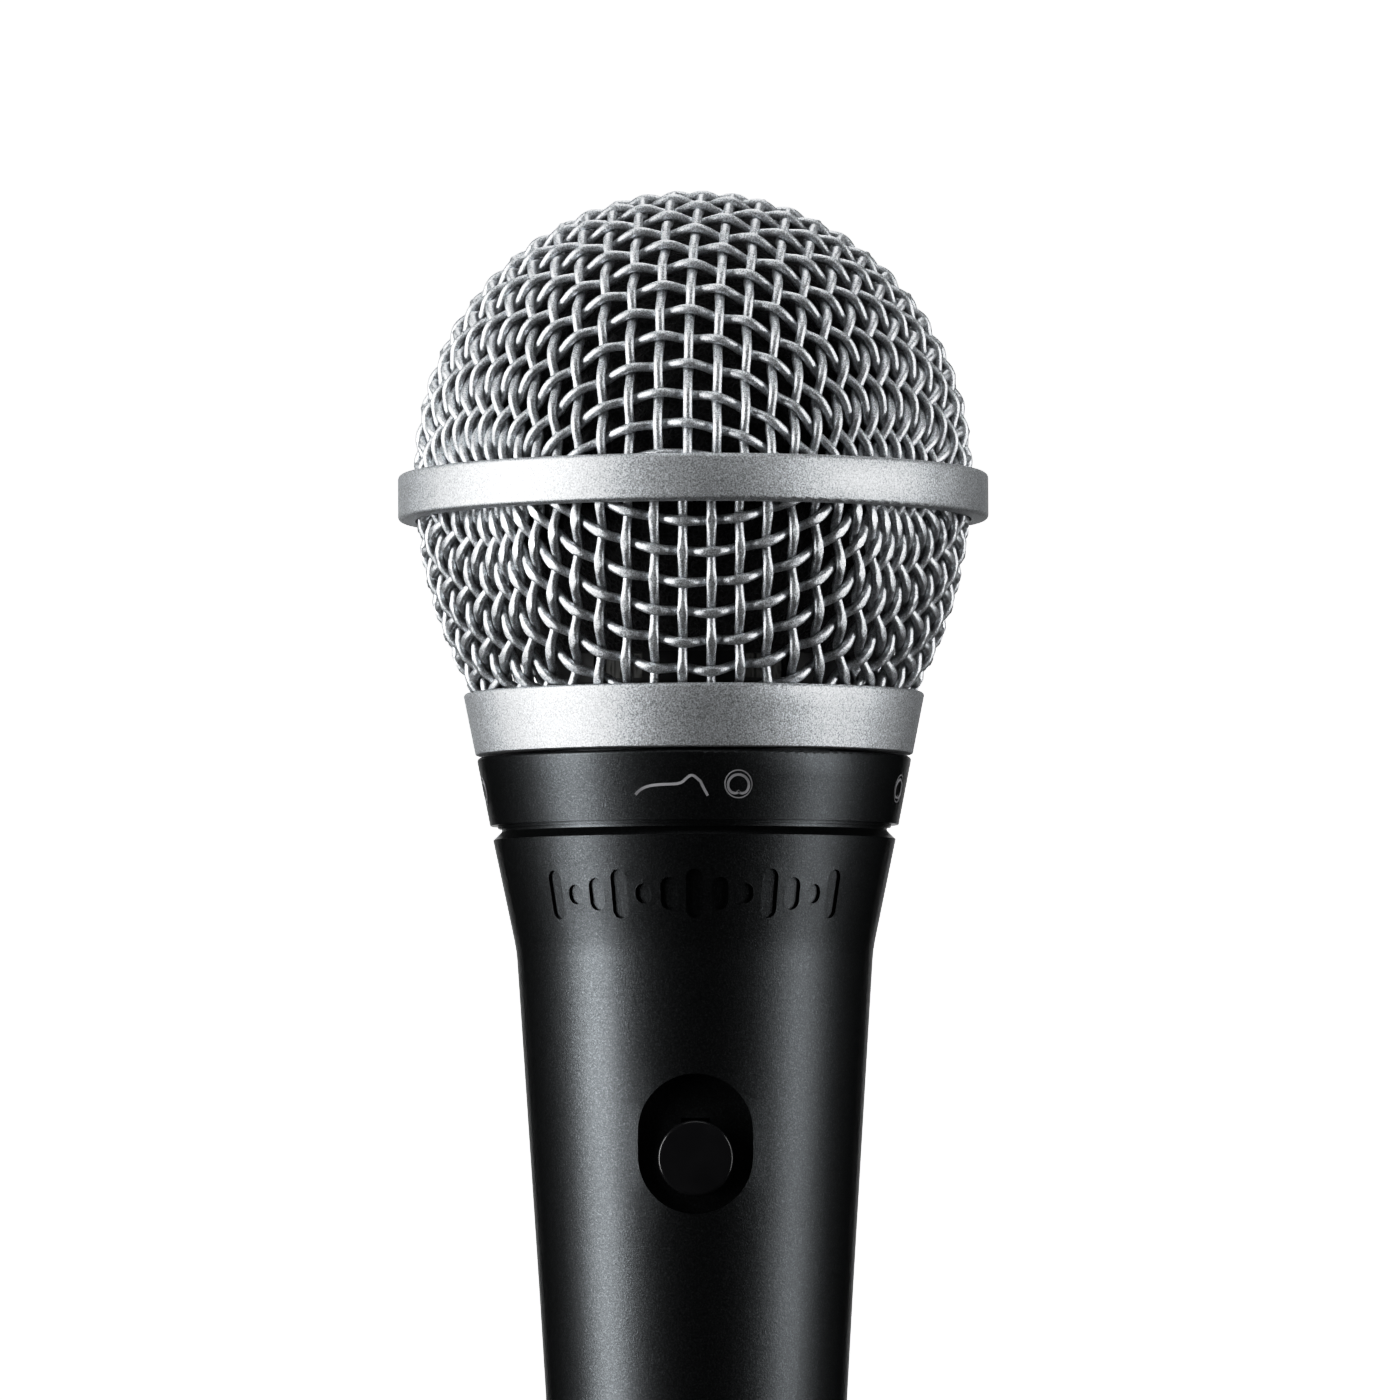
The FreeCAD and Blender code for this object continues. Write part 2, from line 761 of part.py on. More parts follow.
def switch_screws():
    """Two identical round-headed screws, driven forwards into the boss."""
    forwards = FreeCAD.Vector(0, -1, 0)
    screws = []
    for index, side in enumerate(("-", "+"), start=1):
        height = f"switch_height {side} screw_offset"
        seat = "-boss_back + frame_sheet"
        shank = cylinder(f"screw_shank_{index}", "screw_radius", "screw_length",
                         ("0", seat, height), forwards)
        head = cylinder(f"screw_head_{index}", "screw_head_radius", "screw_head_length",
                        ("0", f"{seat} + screw_head_length", height), forwards)
        screws.append(joined(f"screw_{index}", [shank, head]))
    return grouped("switch_screws", screws)


# ---------------------------------------------------------------- cartridge

def shock_mount():
    return turned("shock_mount", [
        ("housing_radius", "mount_bottom"),
        ("cartridge_bore", "mount_bottom"),
        ("cartridge_bore", "handle_top"),
        ("mount_flange_radius", "handle_top"),
        ("mount_flange_radius", "handle_top + mount_flange"),
        ("housing_radius", "handle_top + mount_flange"),
    ])


def cartridge_housing():
    body = turned("cartridge_housing", [
        ("tuning_hole", "housing_bottom"),
        ("housing_radius", "housing_bottom"),
        ("housing_radius", "housing_top"),
        ("housing_bore", "housing_top"),
        ("housing_bore", "housing_floor"),
        ("tuning_hole", "housing_floor"),
    ])
    port = new_sketch(body, "XY_Plane", "port_bottom")
    draw_outline(port, [
        ("cup_radius", "-port_half_width"),
        ("housing_radius + cut_margin", "-port_half_width"),
        ("housing_radius + cut_margin", "port_half_width"),
        ("cup_radius", "port_half_width"),
    ])
    around(body, pocket(body, port, "port_height", along_normal=True), PORT_COUNT)
    return body


def rear_port_cloth():
    margin = "port_cloth_thickness"
    return ring("rear_port_cloth", f"housing_bore - {margin}", "housing_bore",
                f"port_bottom - {margin}", f"port_bottom + port_height + {margin}")


def magnet_cup():
    return turned("magnet_cup", [
        ("0", "housing_floor"),
        ("cup_radius", "housing_floor"),
        ("cup_radius", "plate_bottom"),
        ("cup_bore", "plate_bottom"),
        ("cup_bore", "housing_floor + cup_floor"),
        ("0", "housing_floor + cup_floor"),
    ])


def magnet():
    return cylinder("magnet", "magnet_radius", "plate_bottom - housing_floor - cup_floor",
                    ("0", "0", "housing_floor + cup_floor"))


def pole_cap():
    return cylinder("pole_cap", "pole_radius", "plate_top - plate_bottom", ("0", "0", "plate_bottom"))


def top_plate():
    return ring("top_plate", "plate_bore", "cup_radius", "plate_bottom", "plate_top")


def diaphragm_frame():
    """The seat of the diaphragm: a flange in the housing's bore on a skirt round the plate."""
    return turned("diaphragm_frame", [
        ("seat_bore", "plate_top"),
        ("cup_radius", "plate_top"),
        ("cup_radius", "seat_flange_bottom"),
        ("housing_bore", "seat_flange_bottom"),
        ("housing_bore", "seat_top"),
        ("seat_bore", "seat_top"),
    ])


def cap_radius(chord, rise):
    """Formula for the radius of a shallow arc from its half chord and rise."""
    return f"((({chord})^2 + ({rise})^2) / (2 * ({rise})))"


def diaphragm_dome():
    """Shallow film dome: two arcs about one centre."""
    curve = cap_radius("dome_edge_radius", "dome_rise")
    return turned("diaphragm_dome", [
        ("0", "seat_top + dome_rise", f"-{curve}"),
        ("dome_edge_radius", "seat_top"),
        ("dome_edge_radius", "seat_top + film", curve),
        ("0", "seat_top + dome_rise + film"),
    ])


def diaphragm_surround():
    """Half-roll of film between the dome and the flat rim that the clamp ring holds."""
    curve = cap_radius("(film_clamp_radius - dome_edge_radius) / 2", "roll_rise")
    return turned("diaphragm_surround", [
        ("dome_edge_radius", "seat_top", f"-{curve}"),
        ("film_clamp_radius", "seat_top"),
        ("housing_bore", "seat_top"),
        ("housing_bore", "seat_top + film"),
        ("film_clamp_radius", "seat_top + film", curve),
        ("dome_edge_radius", "seat_top + film"),
    ])


def voice_coil():
    return ring("voice_coil", "dome_edge_radius - coil_thickness", "dome_edge_radius",
                "seat_top - coil_length", "seat_top")


def clamp_ring():
    return ring("clamp_ring", "clamp_bore", "housing_bore", "seat_top + film", "cap_lip_bottom")


def front_cap():
    """A lid on the housing, with rings of holes and a lip that presses on the clamp ring."""
    body = turned("front_cap", [
        ("0", "cap_bottom"),
        ("housing_bore - cap_lip", "cap_bottom"),
        ("housing_bore - cap_lip", "cap_lip_bottom"),
        ("housing_bore", "cap_lip_bottom"),
        ("housing_bore", "housing_top"),
        ("housing_radius", "housing_top"),
        ("housing_radius", "cap_top"),
        ("0", "cap_top"),
    ])
    centre = new_sketch(body, "XY_Plane", "cap_lip_bottom")
    draw_circle(centre, "0", "0", "cap_hole_radius")
    pocket(body, centre, "cap_top - cap_lip_bottom + cut_margin", along_normal=True)
    for circle, count in (("cap_inner_circle", INNER_HOLES), ("cap_outer_circle", OUTER_HOLES)):
        hole = new_sketch(body, "XY_Plane", "cap_lip_bottom")
        draw_circle(hole, circle, "0", "cap_hole_radius")
        around(body, pocket(body, hole, "cap_top - cap_lip_bottom + cut_margin", along_normal=True), count)
    return body


def front_screen():
    return cylinder("front_screen", "screen_radius", "screen_thickness", ("0", "0", "cap_top"))


def rear_cavity():
    return turned("rear_cavity", [
        ("0", "chamber_bottom"),
        ("chamber_radius", "chamber_bottom"),
        ("chamber_radius", "housing_bottom"),
        ("chamber_radius - chamber_wall", "housing_bottom"),
        ("chamber_radius - chamber_wall", "chamber_bottom + chamber_wall"),
        ("0", "chamber_bottom + chamber_wall"),
    ])


BOARD_BOTTOM = "(chamber_bottom - board_thickness)"
TERMINAL_BOTTOM = "(chamber_bottom - board_thickness - terminal_length)"


def terminal_board():
    return cylinder("terminal_board", "board_radius", "board_thickness", ("0", "0", BOARD_BOTTOM))


def cartridge_terminals():
    tabs = []
    for index, side in enumerate(("-", ""), start=1):
        middle = f"{side}terminal_offset"
        tabs.append(box(f"cartridge_tab_{index}",
                        (f"{middle} - terminal_width / 2", "-terminal_thickness / 2", TERMINAL_BOTTOM),
                        (f"{middle} + terminal_width / 2", "terminal_thickness / 2", BOARD_BOTTOM)))
    return grouped("cartridge_terminals", tabs)


# ---------------------------------------------------------------- transformer

CORE_TOP = "(core_bottom + core_height)"
WINDOW_BOTTOM = "(core_bottom + window_margin)"
WINDOW_TOP = "(core_bottom + core_height - window_margin)"


def centred_block(name, half_width, half_depth, bottom, top):
    return box(name, (f"-({half_width})", f"-({half_depth})", bottom), (half_width, half_depth, top))


def transformer_core():
    """Laminated core with a middle leg between two windows."""
    block = centred_block("core_block", "core_half_width", "core_half_depth", "core_bottom", CORE_TOP)
    windows = []
    for index, edge in enumerate(("leg_half_width", "-leg_half_width - window_width"), start=1):
        windows.append(box(f"core_window_{index}",
                           (edge, "-core_half_depth - cut_margin", WINDOW_BOTTOM),
                           (f"{edge} + window_width", "core_half_depth + cut_margin", WINDOW_TOP)))
    return cut("transformer_core", block, joined("core_windows", windows))


def transformer_bobbin():
    """A square tube on the middle leg with a flange at each end."""
    tube = centred_block("bobbin_tube", "leg_half_width + bobbin_wall", "core_half_depth + bobbin_wall",
                         WINDOW_BOTTOM, WINDOW_TOP)
    low = centred_block("bobbin_low_flange", "flange_half_width", "flange_half_depth",
                        WINDOW_BOTTOM, f"{WINDOW_BOTTOM} + bobbin_wall")
    high = centred_block("bobbin_high_flange", "flange_half_width", "flange_half_depth",
                         f"{WINDOW_TOP} - bobbin_wall", WINDOW_TOP)
    leg = centred_block("bobbin_bore", "leg_half_width", "core_half_depth", WINDOW_BOTTOM, WINDOW_TOP)
    return cut("transformer_bobbin", joined("bobbin_solid", [tube, low, high]), leg)


def transformer_winding():
    low = f"{WINDOW_BOTTOM} + bobbin_wall"
    high = f"{WINDOW_TOP} - bobbin_wall"
    coil = centred_block("winding_block", "flange_half_width - winding_inset",
                         "flange_half_depth - winding_inset", low, high)
    bore = centred_block("winding_bore", "leg_half_width + bobbin_wall",
                         "core_half_depth + bobbin_wall", low, high)
    return cut("transformer_winding", coil, bore)


def transformer_sleeve():
    """A foam sleeve that fills the gap between the transformer and the tapered cavity."""
    slope = "((cavity_middle_radius - cavity_low_radius) / (grip_height - cavity_low))"

    def wall(height):
        return f"cavity_low_radius + ({height} - cavity_low) * {slope}"

    return turned("transformer_sleeve", [
        ("sleeve_bore", "sleeve_bottom"),
        (wall("sleeve_bottom"), "sleeve_bottom"),
        (wall("sleeve_top"), "sleeve_top"),
        ("sleeve_bore", "sleeve_top"),
    ])


# ---------------------------------------------------------------- connector

def polar(angle):
    """Formulas for a point on the pin circle."""
    return f"pin_circle * cos({angle} deg)", f"pin_circle * sin({angle} deg)"


def connector_insert():
    body = new_body("connector_insert")
    disc = new_sketch(body, "XY_Plane", "insert_bottom")
    draw_circle(disc, "0", "0", "socket_radius")
    pad(body, disc, "insert_top - insert_bottom")
    for across, up in (("-pin_circle", "0"), ("pin_circle", "0"), ("0", "-pin_circle")):
        hole = new_sketch(body, "XY_Plane", "insert_bottom")
        draw_circle(hole, across, up, "shank_radius")
        pocket(body, hole, "insert_top - insert_bottom", along_normal=True)
    return body


def contact_pin(name, angle):
    """A round-nosed pin on a thinner shank that ends in a solder cup."""
    body = turned(name, [
        ("0", "pin_tip"),
        ("pin_radius", "pin_tip"),
        ("pin_radius", "insert_bottom"),
        ("shank_radius", "insert_bottom"),
        ("shank_radius", "insert_top"),
        ("solder_cup_radius", "insert_top"),
        ("solder_cup_radius", "solder_cup_top"),
        ("solder_cup_bore", "solder_cup_top"),
        ("solder_cup_bore", "solder_cup_floor"),
        ("0", "solder_cup_floor"),
    ])
    fillet(body, [("pin_radius", "pin_tip")], "pin_tip_round")
    for axis, formula in zip("xy", polar(angle)):
        body.setExpression(f"Placement.Base.{axis}", cells(formula))
    return body


def insert_set_screw():
    """A headless screw in the back wall that holds the insert, with a hexagon socket."""
    body = new_body("insert_set_screw")
    start = "-(socket_radius + set_screw_length)"
    round_end = new_sketch(body, "XZ_Plane", start)
    draw_circle(round_end, "0", "set_screw_height", "set_screw_radius")
    pad(body, round_end, "set_screw_length")
    hexagon = new_sketch(body, "XZ_Plane", start)
    draw_outline(hexagon, [(f"hex_radius * cos({angle} deg)" if angle % 180 != 90 else "0",
                            f"set_screw_height + hex_radius * sin({angle} deg)")
                           for angle in range(30, 390, 60)])
    pocket(body, hexagon, "hex_depth", along_normal=True)
    return body


# ---------------------------------------------------------------- leads

def lead(name, route):
    """A round insulated lead along straight runs joined by tangent arcs."""
    points = [FreeCAD.Vector(*(number(part) for part in point)) for point in route]
    edges = []
    length = 0
    start = points[0]
    for before, corner, after in zip(points, points[1:], points[2:]):
        inward = (corner - before).normalize()
        outward = (after - corner).normalize()
        turn = inward.getAngle(outward)
        reach = ARC_SHARE * min((corner - before).Length, (after - corner).Length)
        radius = reach / math.tan(turn / 2)
        first = corner - inward * reach
        last = corner + outward * reach
        centre = first + (outward - inward * outward.dot(inward)).normalize() * radius
        middle = centre + (corner - centre).normalize() * radius
        edges.append(Part.LineSegment(start, first).toShape())
        edges.append(Part.Arc(first, middle, last).toShape())
        length += (first - start).Length + radius * turn
        print(f"{name}: arc radius {radius:.2f}")
        start = last
    edges.append(Part.LineSegment(start, points[-1]).toShape())
    length += (points[-1] - start).Length
    section_radius = number("lead_radius")
    section = Part.Wire(Part.makeCircle(section_radius, points[0], points[1] - points[0]))
    shape = Part.Wire(edges).makePipeShell([section], True, False)
    expected = math.pi * section_radius ** 2 * length
    print(f"{name}: volume {shape.Volume:.2f}, section times length {expected:.2f}")
    result = doc.addObject("Part::Feature", name)
    result.Label = name
    result.Shape = shape
    result.Placement = FreeCAD.Placement()
    return result


def leads():
    """Routes of the six leads, from the solder joint at one end to the one at the other."""
    tab_end = "(-can_back + base_thickness / 2 + tab_length)"
    high_tab = "switch_height + tab_spacing"
    low_tab = "switch_height - tab_spacing"
    flange_top = WINDOW_TOP
    flange_bottom = WINDOW_BOTTOM
    coil_right = ("coil_lead_offset", "coil_lead_depth")
    coil_left = ("-coil_lead_offset", "coil_lead_depth")
    coil_front = ("coil_lead_offset", "-coil_lead_depth")
    routes = {
        "cartridge_lead_hot": [
            ("terminal_offset", "0", TERMINAL_BOTTOM), ("terminal_offset", "0", "88.4"),
            ("2.6", "2.4", "84.6"), ("0", "1.9", high_tab), ("0", tab_end, high_tab)],
        "cartridge_lead_cold": [
            ("-terminal_offset", "0", TERMINAL_BOTTOM), ("-terminal_offset", "0", "87.5"),
            ("-5.6", "3.4", "79.5"), ("-6.2", "5.2", "69.5"), ("-4.6", "5.2", "60.0"),
            (*coil_left, "53.0"), (*coil_left, flange_top)],
        "switch_lead": [
            ("0", tab_end, low_tab), ("0", "1.6", low_tab), ("2.2", "3.6", "70.0"),
            ("3.8", "4.6", "61.0"), (*coil_right, "53.5"), (*coil_right, flange_top)],
        "output_lead_hot": [
            (*coil_right, flange_bottom), (*coil_right, "36.0"), ("4.6", "2.4", "31.0"),
            ("pin_circle", "0", "27.0"), ("pin_circle", "0", "solder_cup_floor")],
        "output_lead_cold": [
            (*coil_front, flange_bottom), (*coil_front, "36.0"), ("1.0", "-5.2", "31.0"),
            ("0", "-pin_circle", "27.0"), ("0", "-pin_circle", "solder_cup_floor")],
        "ground_lead": [
            (*coil_left, flange_bottom), (*coil_left, "35.6"), ("-4.8", "2.6", "31.0"),
            ("-pin_circle", "0", "27.4"), ("-pin_circle", "0", "solder_cup_floor")],
    }
    return [lead(name, route) for name, route in routes.items()]


# ---------------------------------------------------------------- build, check and write

def build():
    pieces = [
        grille_dome_mesh(), grille_bowl_mesh(), grille_band(), grille_collar(),
        foam_liner_dome(), foam_liner_bowl(),
        handle_shell(), neck_ring(),
        switch_button(), switch_slider(), switch_frame(), switch_base(), switch_terminals(), switch_screws(),
        shock_mount(), cartridge_housing(), rear_port_cloth(), magnet_cup(), magnet(), pole_cap(),
        top_plate(), diaphragm_frame(), diaphragm_dome(), diaphragm_surround(), voice_coil(),
        clamp_ring(), front_cap(), front_screen(), rear_cavity(), terminal_board(), cartridge_terminals(),
        transformer_core(), transformer_bobbin(), transformer_winding(), transformer_sleeve(),
        connector_insert(), insert_set_screw(),
    ]
    pieces += [contact_pin(name, angle) for name, angle in PIN_ANGLES.items()]
    pieces += leads()
    doc.recompute()
    return pieces


def check(pieces):
    """Stop if any object of the document failed, or any piece has no sound solid."""
    for item in doc.Objects:
        if "Invalid" in item.State or "Error" in item.State:
            raise RuntimeError(f"{item.Label} failed: {item.State}")
    for item in doc.findObjects("Sketcher::SketchObject"):
        if not item.FullyConstrained:
            raise RuntimeError(f"{item.Label} is not fully dimensioned")
    for piece in pieces:
        if piece.Shape.isNull() or not piece.Shape.isValid() or not piece.Shape.Solids:
            raise RuntimeError(f"{piece.Label} has no sound shape")


def write(pieces):
    os.makedirs("parts", exist_ok=True)
    for piece in pieces:
        piece.Shape.exportStep(f"parts/{piece.Label}.step")
        print(f"{piece.Label}: {len(piece.Shape.Solids)} solid(s), {piece.Shape.Volume:.1f} mm3")


all_pieces = build()
check(all_pieces)
write(all_pieces)
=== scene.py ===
import json
import math

import bpy
import numpy as np
from mathutils import Matrix, Vector


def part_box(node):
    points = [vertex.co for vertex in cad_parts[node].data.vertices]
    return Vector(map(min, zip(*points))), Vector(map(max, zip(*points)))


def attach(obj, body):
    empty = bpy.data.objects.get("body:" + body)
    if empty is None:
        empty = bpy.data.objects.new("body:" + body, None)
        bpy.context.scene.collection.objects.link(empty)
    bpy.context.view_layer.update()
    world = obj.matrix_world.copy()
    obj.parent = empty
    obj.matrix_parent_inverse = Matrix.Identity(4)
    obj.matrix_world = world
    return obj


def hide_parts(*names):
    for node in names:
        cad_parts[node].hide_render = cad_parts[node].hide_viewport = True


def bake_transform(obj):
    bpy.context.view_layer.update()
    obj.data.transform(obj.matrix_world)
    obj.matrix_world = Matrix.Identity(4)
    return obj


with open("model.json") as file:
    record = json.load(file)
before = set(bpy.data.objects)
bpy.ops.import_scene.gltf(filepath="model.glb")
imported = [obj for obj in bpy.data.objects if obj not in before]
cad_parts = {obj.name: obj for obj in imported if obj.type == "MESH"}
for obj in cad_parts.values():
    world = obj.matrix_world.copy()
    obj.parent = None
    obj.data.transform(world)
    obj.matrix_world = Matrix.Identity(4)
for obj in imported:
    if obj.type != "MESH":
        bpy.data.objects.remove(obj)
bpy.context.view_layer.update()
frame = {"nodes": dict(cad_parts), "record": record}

MM = 0.001


# ---------------------------------------------------------------- sizes taken from the frame

def low(node):
    """The low corner of a CAD node's box."""
    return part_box(node)[0]


def high(node):
    """The high corner of a CAD node's box."""
    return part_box(node)[1]


BAND_TOP = high("grille_band").z
DOME_TOP = high("grille_dome_mesh").z
DOME_BOTTOM = low("grille_dome_mesh").z
DOME_RADIUS = high("grille_dome_mesh").x
DOME_CENTRE = DOME_TOP - DOME_RADIUS
BOWL_TOP = high("grille_bowl_mesh").z
COLLAR_TOP = high("grille_collar").z
RING_TOP = high("neck_ring").z
HANDLE_TOP = high("handle_shell").z


# ---------------------------------------------------------------- node materials

# Sockets of a colour mix node, by number
MIX_SHARE, MIX_FIRST, MIX_SECOND, MIX_RESULT = 0, 6, 7, 2


class Nodes:
    """A short way to write a material's nodes."""

    def __init__(self, name):
        self.material = bpy.data.materials.new(name)
        self.material.use_nodes = True
        self.tree = self.material.node_tree
        self.shader = self.tree.nodes["Principled BSDF"]
        self.place = self.add("ShaderNodeTexCoord").outputs["Object"]

    def add(self, kind, **values):
        node = self.tree.nodes.new(kind)
        for key, value in values.items():
            setattr(node, key, value)
        return node

    def join(self, source, target):
        self.tree.links.new(source, target)

    def set(self, **values):
        """Constants on the shader's own sockets, with _ for a space in a socket's name."""
        for key, value in values.items():
            self.shader.inputs[key.replace("_", " ")].default_value = value

    def noise(self, size, detail=2.0, roughness=0.5):
        """Noise whose features are about size metres across."""
        node = self.add("ShaderNodeTexNoise")
        node.inputs["Scale"].default_value = 1 / size
        node.inputs["Detail"].default_value = detail
        node.inputs["Roughness"].default_value = roughness
        self.join(self.place, node.inputs["Vector"])
        return node.outputs["Fac"]

    def cells(self, size):
        """The distance to the walls of cells about size metres across."""
        node = self.add("ShaderNodeTexVoronoi", feature="DISTANCE_TO_EDGE")
        node.inputs["Scale"].default_value = 1 / size
        self.join(self.place, node.inputs["Vector"])
        return node.outputs["Distance"]

    def bands(self, scale, direction, distortion=0.0):
        """Parallel waves along an axis."""
        node = self.add("ShaderNodeTexWave", wave_type="BANDS", bands_direction=direction)
        node.inputs["Scale"].default_value = scale
        node.inputs["Distortion"].default_value = distortion
        self.join(self.place, node.inputs["Vector"])
        return node.outputs["Fac"]

    def ramp(self, source, *stops):
        """Colours or greys at positions from 0 to 1."""
        node = self.add("ShaderNodeValToRGB")
        elements = node.color_ramp.elements
        while len(elements) < len(stops):
            elements.new(0.5)
        for element, (position, colour) in zip(elements, stops):
            element.position = position
            tone = colour if isinstance(colour, tuple) else (colour, colour, colour)
            element.color = (*tone, 1)
        self.join(source, node.inputs["Fac"])
        return node.outputs["Color"]

    def darken(self, share, first, second):
        """The first colour multiplied by the second in some share."""
        node = self.add("ShaderNodeMix", data_type="RGBA", blend_type="MULTIPLY")
        node.inputs[MIX_SHARE].default_value = share
        self.join(first, node.inputs[MIX_FIRST])
        self.join(second, node.inputs[MIX_SECOND])
        return node.outputs[MIX_RESULT]

    def higher(self, first, second):
        """The higher of two values."""
        node = self.add("ShaderNodeMath", operation="MAXIMUM")
        self.join(first, node.inputs[0])
        self.join(second, node.inputs[1])
        return node.outputs[0]

    def bump(self, *layers):
        """Relief from (height source, depth in metres) layers."""
        normal = None
        for source, depth in layers:
            node = self.add("ShaderNodeBump")
            node.inputs["Strength"].default_value = 1.0
            node.inputs["Distance"].default_value = depth
            self.join(source, node.inputs["Height"])
            if normal is not None:
                self.join(normal, node.inputs["Normal"])
            normal = node.outputs["Normal"]
        self.join(normal, self.shader.inputs["Normal"])

    def colour(self, source):
        self.join(source, self.shader.inputs["Base Color"])

    def roughness(self, source, least, most):
        """Roughness that follows a source between two limits."""
        node = self.add("ShaderNodeMapRange")
        node.inputs["To Min"].default_value = least
        node.inputs["To Max"].default_value = most
        self.join(source, node.inputs["Value"])
        self.join(node.outputs["Result"], self.shader.inputs["Roughness"])


SILVER_TINT = (0.975, 1.0, 1.025)
CLOUD = ((0.3, 0.6), (0.7, 1.0))

# A wave texture of scale HALF_BAND / length rises in one length and falls in the next.
HALF_BAND = 0.16


def shade(tone, share):
    """A tone made lighter or darker by some share."""
    return tuple(min(channel * share, 1.0) for channel in tone)


def silver(level):
    """A silver of some lightness, a little cool."""
    return shade(SILVER_TINT, level)


# In the materials below, least and most are the limits of the roughness.

def satin_silver(name, grain, tone, least, most, depth):
    """Sprayed satin silver: fine bead-blasted grain with flakes a little lighter or darker."""
    nodes = Nodes(name)
    fine = nodes.noise(grain, detail=2.0, roughness=0.6)
    coarse = nodes.noise(6 * MM, detail=1.0)
    dark, plain, light = silver(tone * 0.62), silver(tone), silver(tone * 1.32)
    flecks = nodes.ramp(fine, (0.34, dark), (0.50, plain), (0.66, light))
    nodes.colour(nodes.darken(0.12, flecks, nodes.ramp(coarse, *CLOUD)))
    nodes.set(Metallic=1.0)
    nodes.roughness(fine, least, most)
    nodes.bump((fine, depth))
    return nodes.material


def charcoal(name, tone, least, most, grain):
    """Dark metallic enamel with a fine grain."""
    nodes = Nodes(name)
    fine = nodes.noise(grain, detail=3.0, roughness=0.65)
    cloud = nodes.noise(9 * MM, detail=2.0)
    flake = nodes.ramp(fine, (0.35, shade(tone, 0.7)), (0.55, tone), (0.80, shade(tone, 2.0)))
    nodes.colour(nodes.darken(0.25, flake, nodes.ramp(cloud, (0.3, 0.75), (0.7, 1.0))))
    nodes.set(Metallic=1.0)
    nodes.roughness(fine, least, most)
    nodes.bump((fine, 0.018 * MM))
    return nodes.material


def foam(name):
    """Open-cell foam: ribs in the foam's own tone, with painted shade darkening the cells between them.
    """
    nodes = Nodes(name)
    cell = nodes.cells(0.55 * MM)
    small = nodes.cells(0.27 * MM)
    rib, wall, hollow_shade = (0.030, 0.030, 0.032), (0.008, 0.008, 0.009), (0.003, 0.003, 0.003)
    # Painted shade: the middles of the cells, large and small, are darker than the ribs, which keep the
    # foam's own tone.
    ribs = nodes.ramp(cell, (0.0, rib), (0.22, wall), (1.0, hollow_shade))
    nodes.colour(nodes.darken(0.4, ribs, nodes.ramp(small, (0.0, 0.9), (0.3, 0.35))))
    nodes.set(Roughness=0.95, Sheen_Weight=0.05)
    raised = ((0.0, 1.0), (0.3, 0.0))
    nodes.bump((nodes.ramp(cell, *raised), 0.12 * MM), (nodes.ramp(small, *raised), 0.05 * MM))
    return nodes.material


def moulded(name, tone, least, most, grain=0.12 * MM, depth=0.004 * MM):
    """Moulded plastic or rubber: a fine texture and faint clouds of colour."""
    nodes = Nodes(name)
    fine = nodes.noise(grain, detail=3.0)
    cloud = nodes.noise(3 * MM, detail=2.0)
    nodes.colour(nodes.ramp(cloud, (0.3, shade(tone, 0.82)), (0.7, shade(tone, 1.15))))
    nodes.roughness(fine, least, most)
    nodes.bump((fine, depth))
    return nodes.material


def turned_metal(name, tone, least, most):
    """Machined metal with fine tool marks that run round the axis."""
    nodes = Nodes(name)
    split = nodes.add("ShaderNodeSeparateXYZ")
    nodes.join(nodes.place, split.inputs["Vector"])
    along = nodes.add("ShaderNodeCombineXYZ")
    nodes.join(split.outputs["Z"], along.inputs["Z"])
    marks = nodes.add("ShaderNodeTexNoise")
    marks.inputs["Scale"].default_value = 1 / (0.1 * MM)
    nodes.join(along.outputs["Vector"], marks.inputs["Vector"])
    fine = nodes.noise(0.2 * MM)
    nodes.colour(nodes.ramp(fine, (0.3, shade(tone, 0.85)), (0.7, tone)))
    nodes.set(Metallic=1.0)
    nodes.roughness(marks.outputs["Fac"], least, most)
    nodes.bump((marks.outputs["Fac"], 0.003 * MM), (fine, 0.002 * MM))
    return nodes.material


def wound_copper(name):
    """Fine enamelled wire laid in turns, with painted shade darkening the sides of each turn and the
    grooves between turns.
    """
    nodes = Nodes(name)
    turns = nodes.bands(1 / (1.2 * MM), "Z", distortion=0.4)
    # Painted shade: the colours for the grooves between turns and for the sides of the turns are darker
    # than the crown's.
    gap_shade, side, crown = (0.16, 0.045, 0.016), (0.62, 0.24, 0.09), (0.80, 0.36, 0.16)
    nodes.colour(nodes.ramp(turns, (0.0, gap_shade), (0.6, side), (1.0, crown)))
    nodes.set(Metallic=0.9, Coat_Weight=0.4, Coat_Roughness=0.15)
    nodes.roughness(turns, 0.22, 0.40)
    nodes.bump((turns, 0.06 * MM))
    return nodes.material


def laminated(name, tone, sheet):
    """Stacked sheets seen on their edges."""
    nodes = Nodes(name)
    sheets = nodes.bands(HALF_BAND / sheet, "Y")
    fine = nodes.noise(0.3 * MM)
    edges = nodes.ramp(sheets, (0.0, shade(tone, 0.4)), (0.4, tone))
    nodes.colour(nodes.darken(0.3, edges, nodes.ramp(fine, *CLOUD)))
    nodes.set(Metallic=0.7)
    nodes.roughness(fine, 0.4, 0.6)
    nodes.bump((sheets, 0.04 * MM))
    return nodes.material


def woven_cloth(name, tone, thread):
    """Fine acoustic cloth: crossed threads, with painted shade darkening the low places between them."""
    nodes = Nodes(name)
    crossed = [nodes.bands(HALF_BAND / thread, direction) for direction in ("X", "Y")]
    threads = nodes.higher(*crossed)
    # Painted shade: the low places between the threads are darker than the threads.
    nodes.colour(nodes.ramp(threads, (0.2, shade(tone, 0.3)), (0.9, tone)))
    nodes.set(Roughness=0.9, Sheen_Weight=0.2)
    nodes.bump((threads, 0.05 * MM))
    return nodes.material


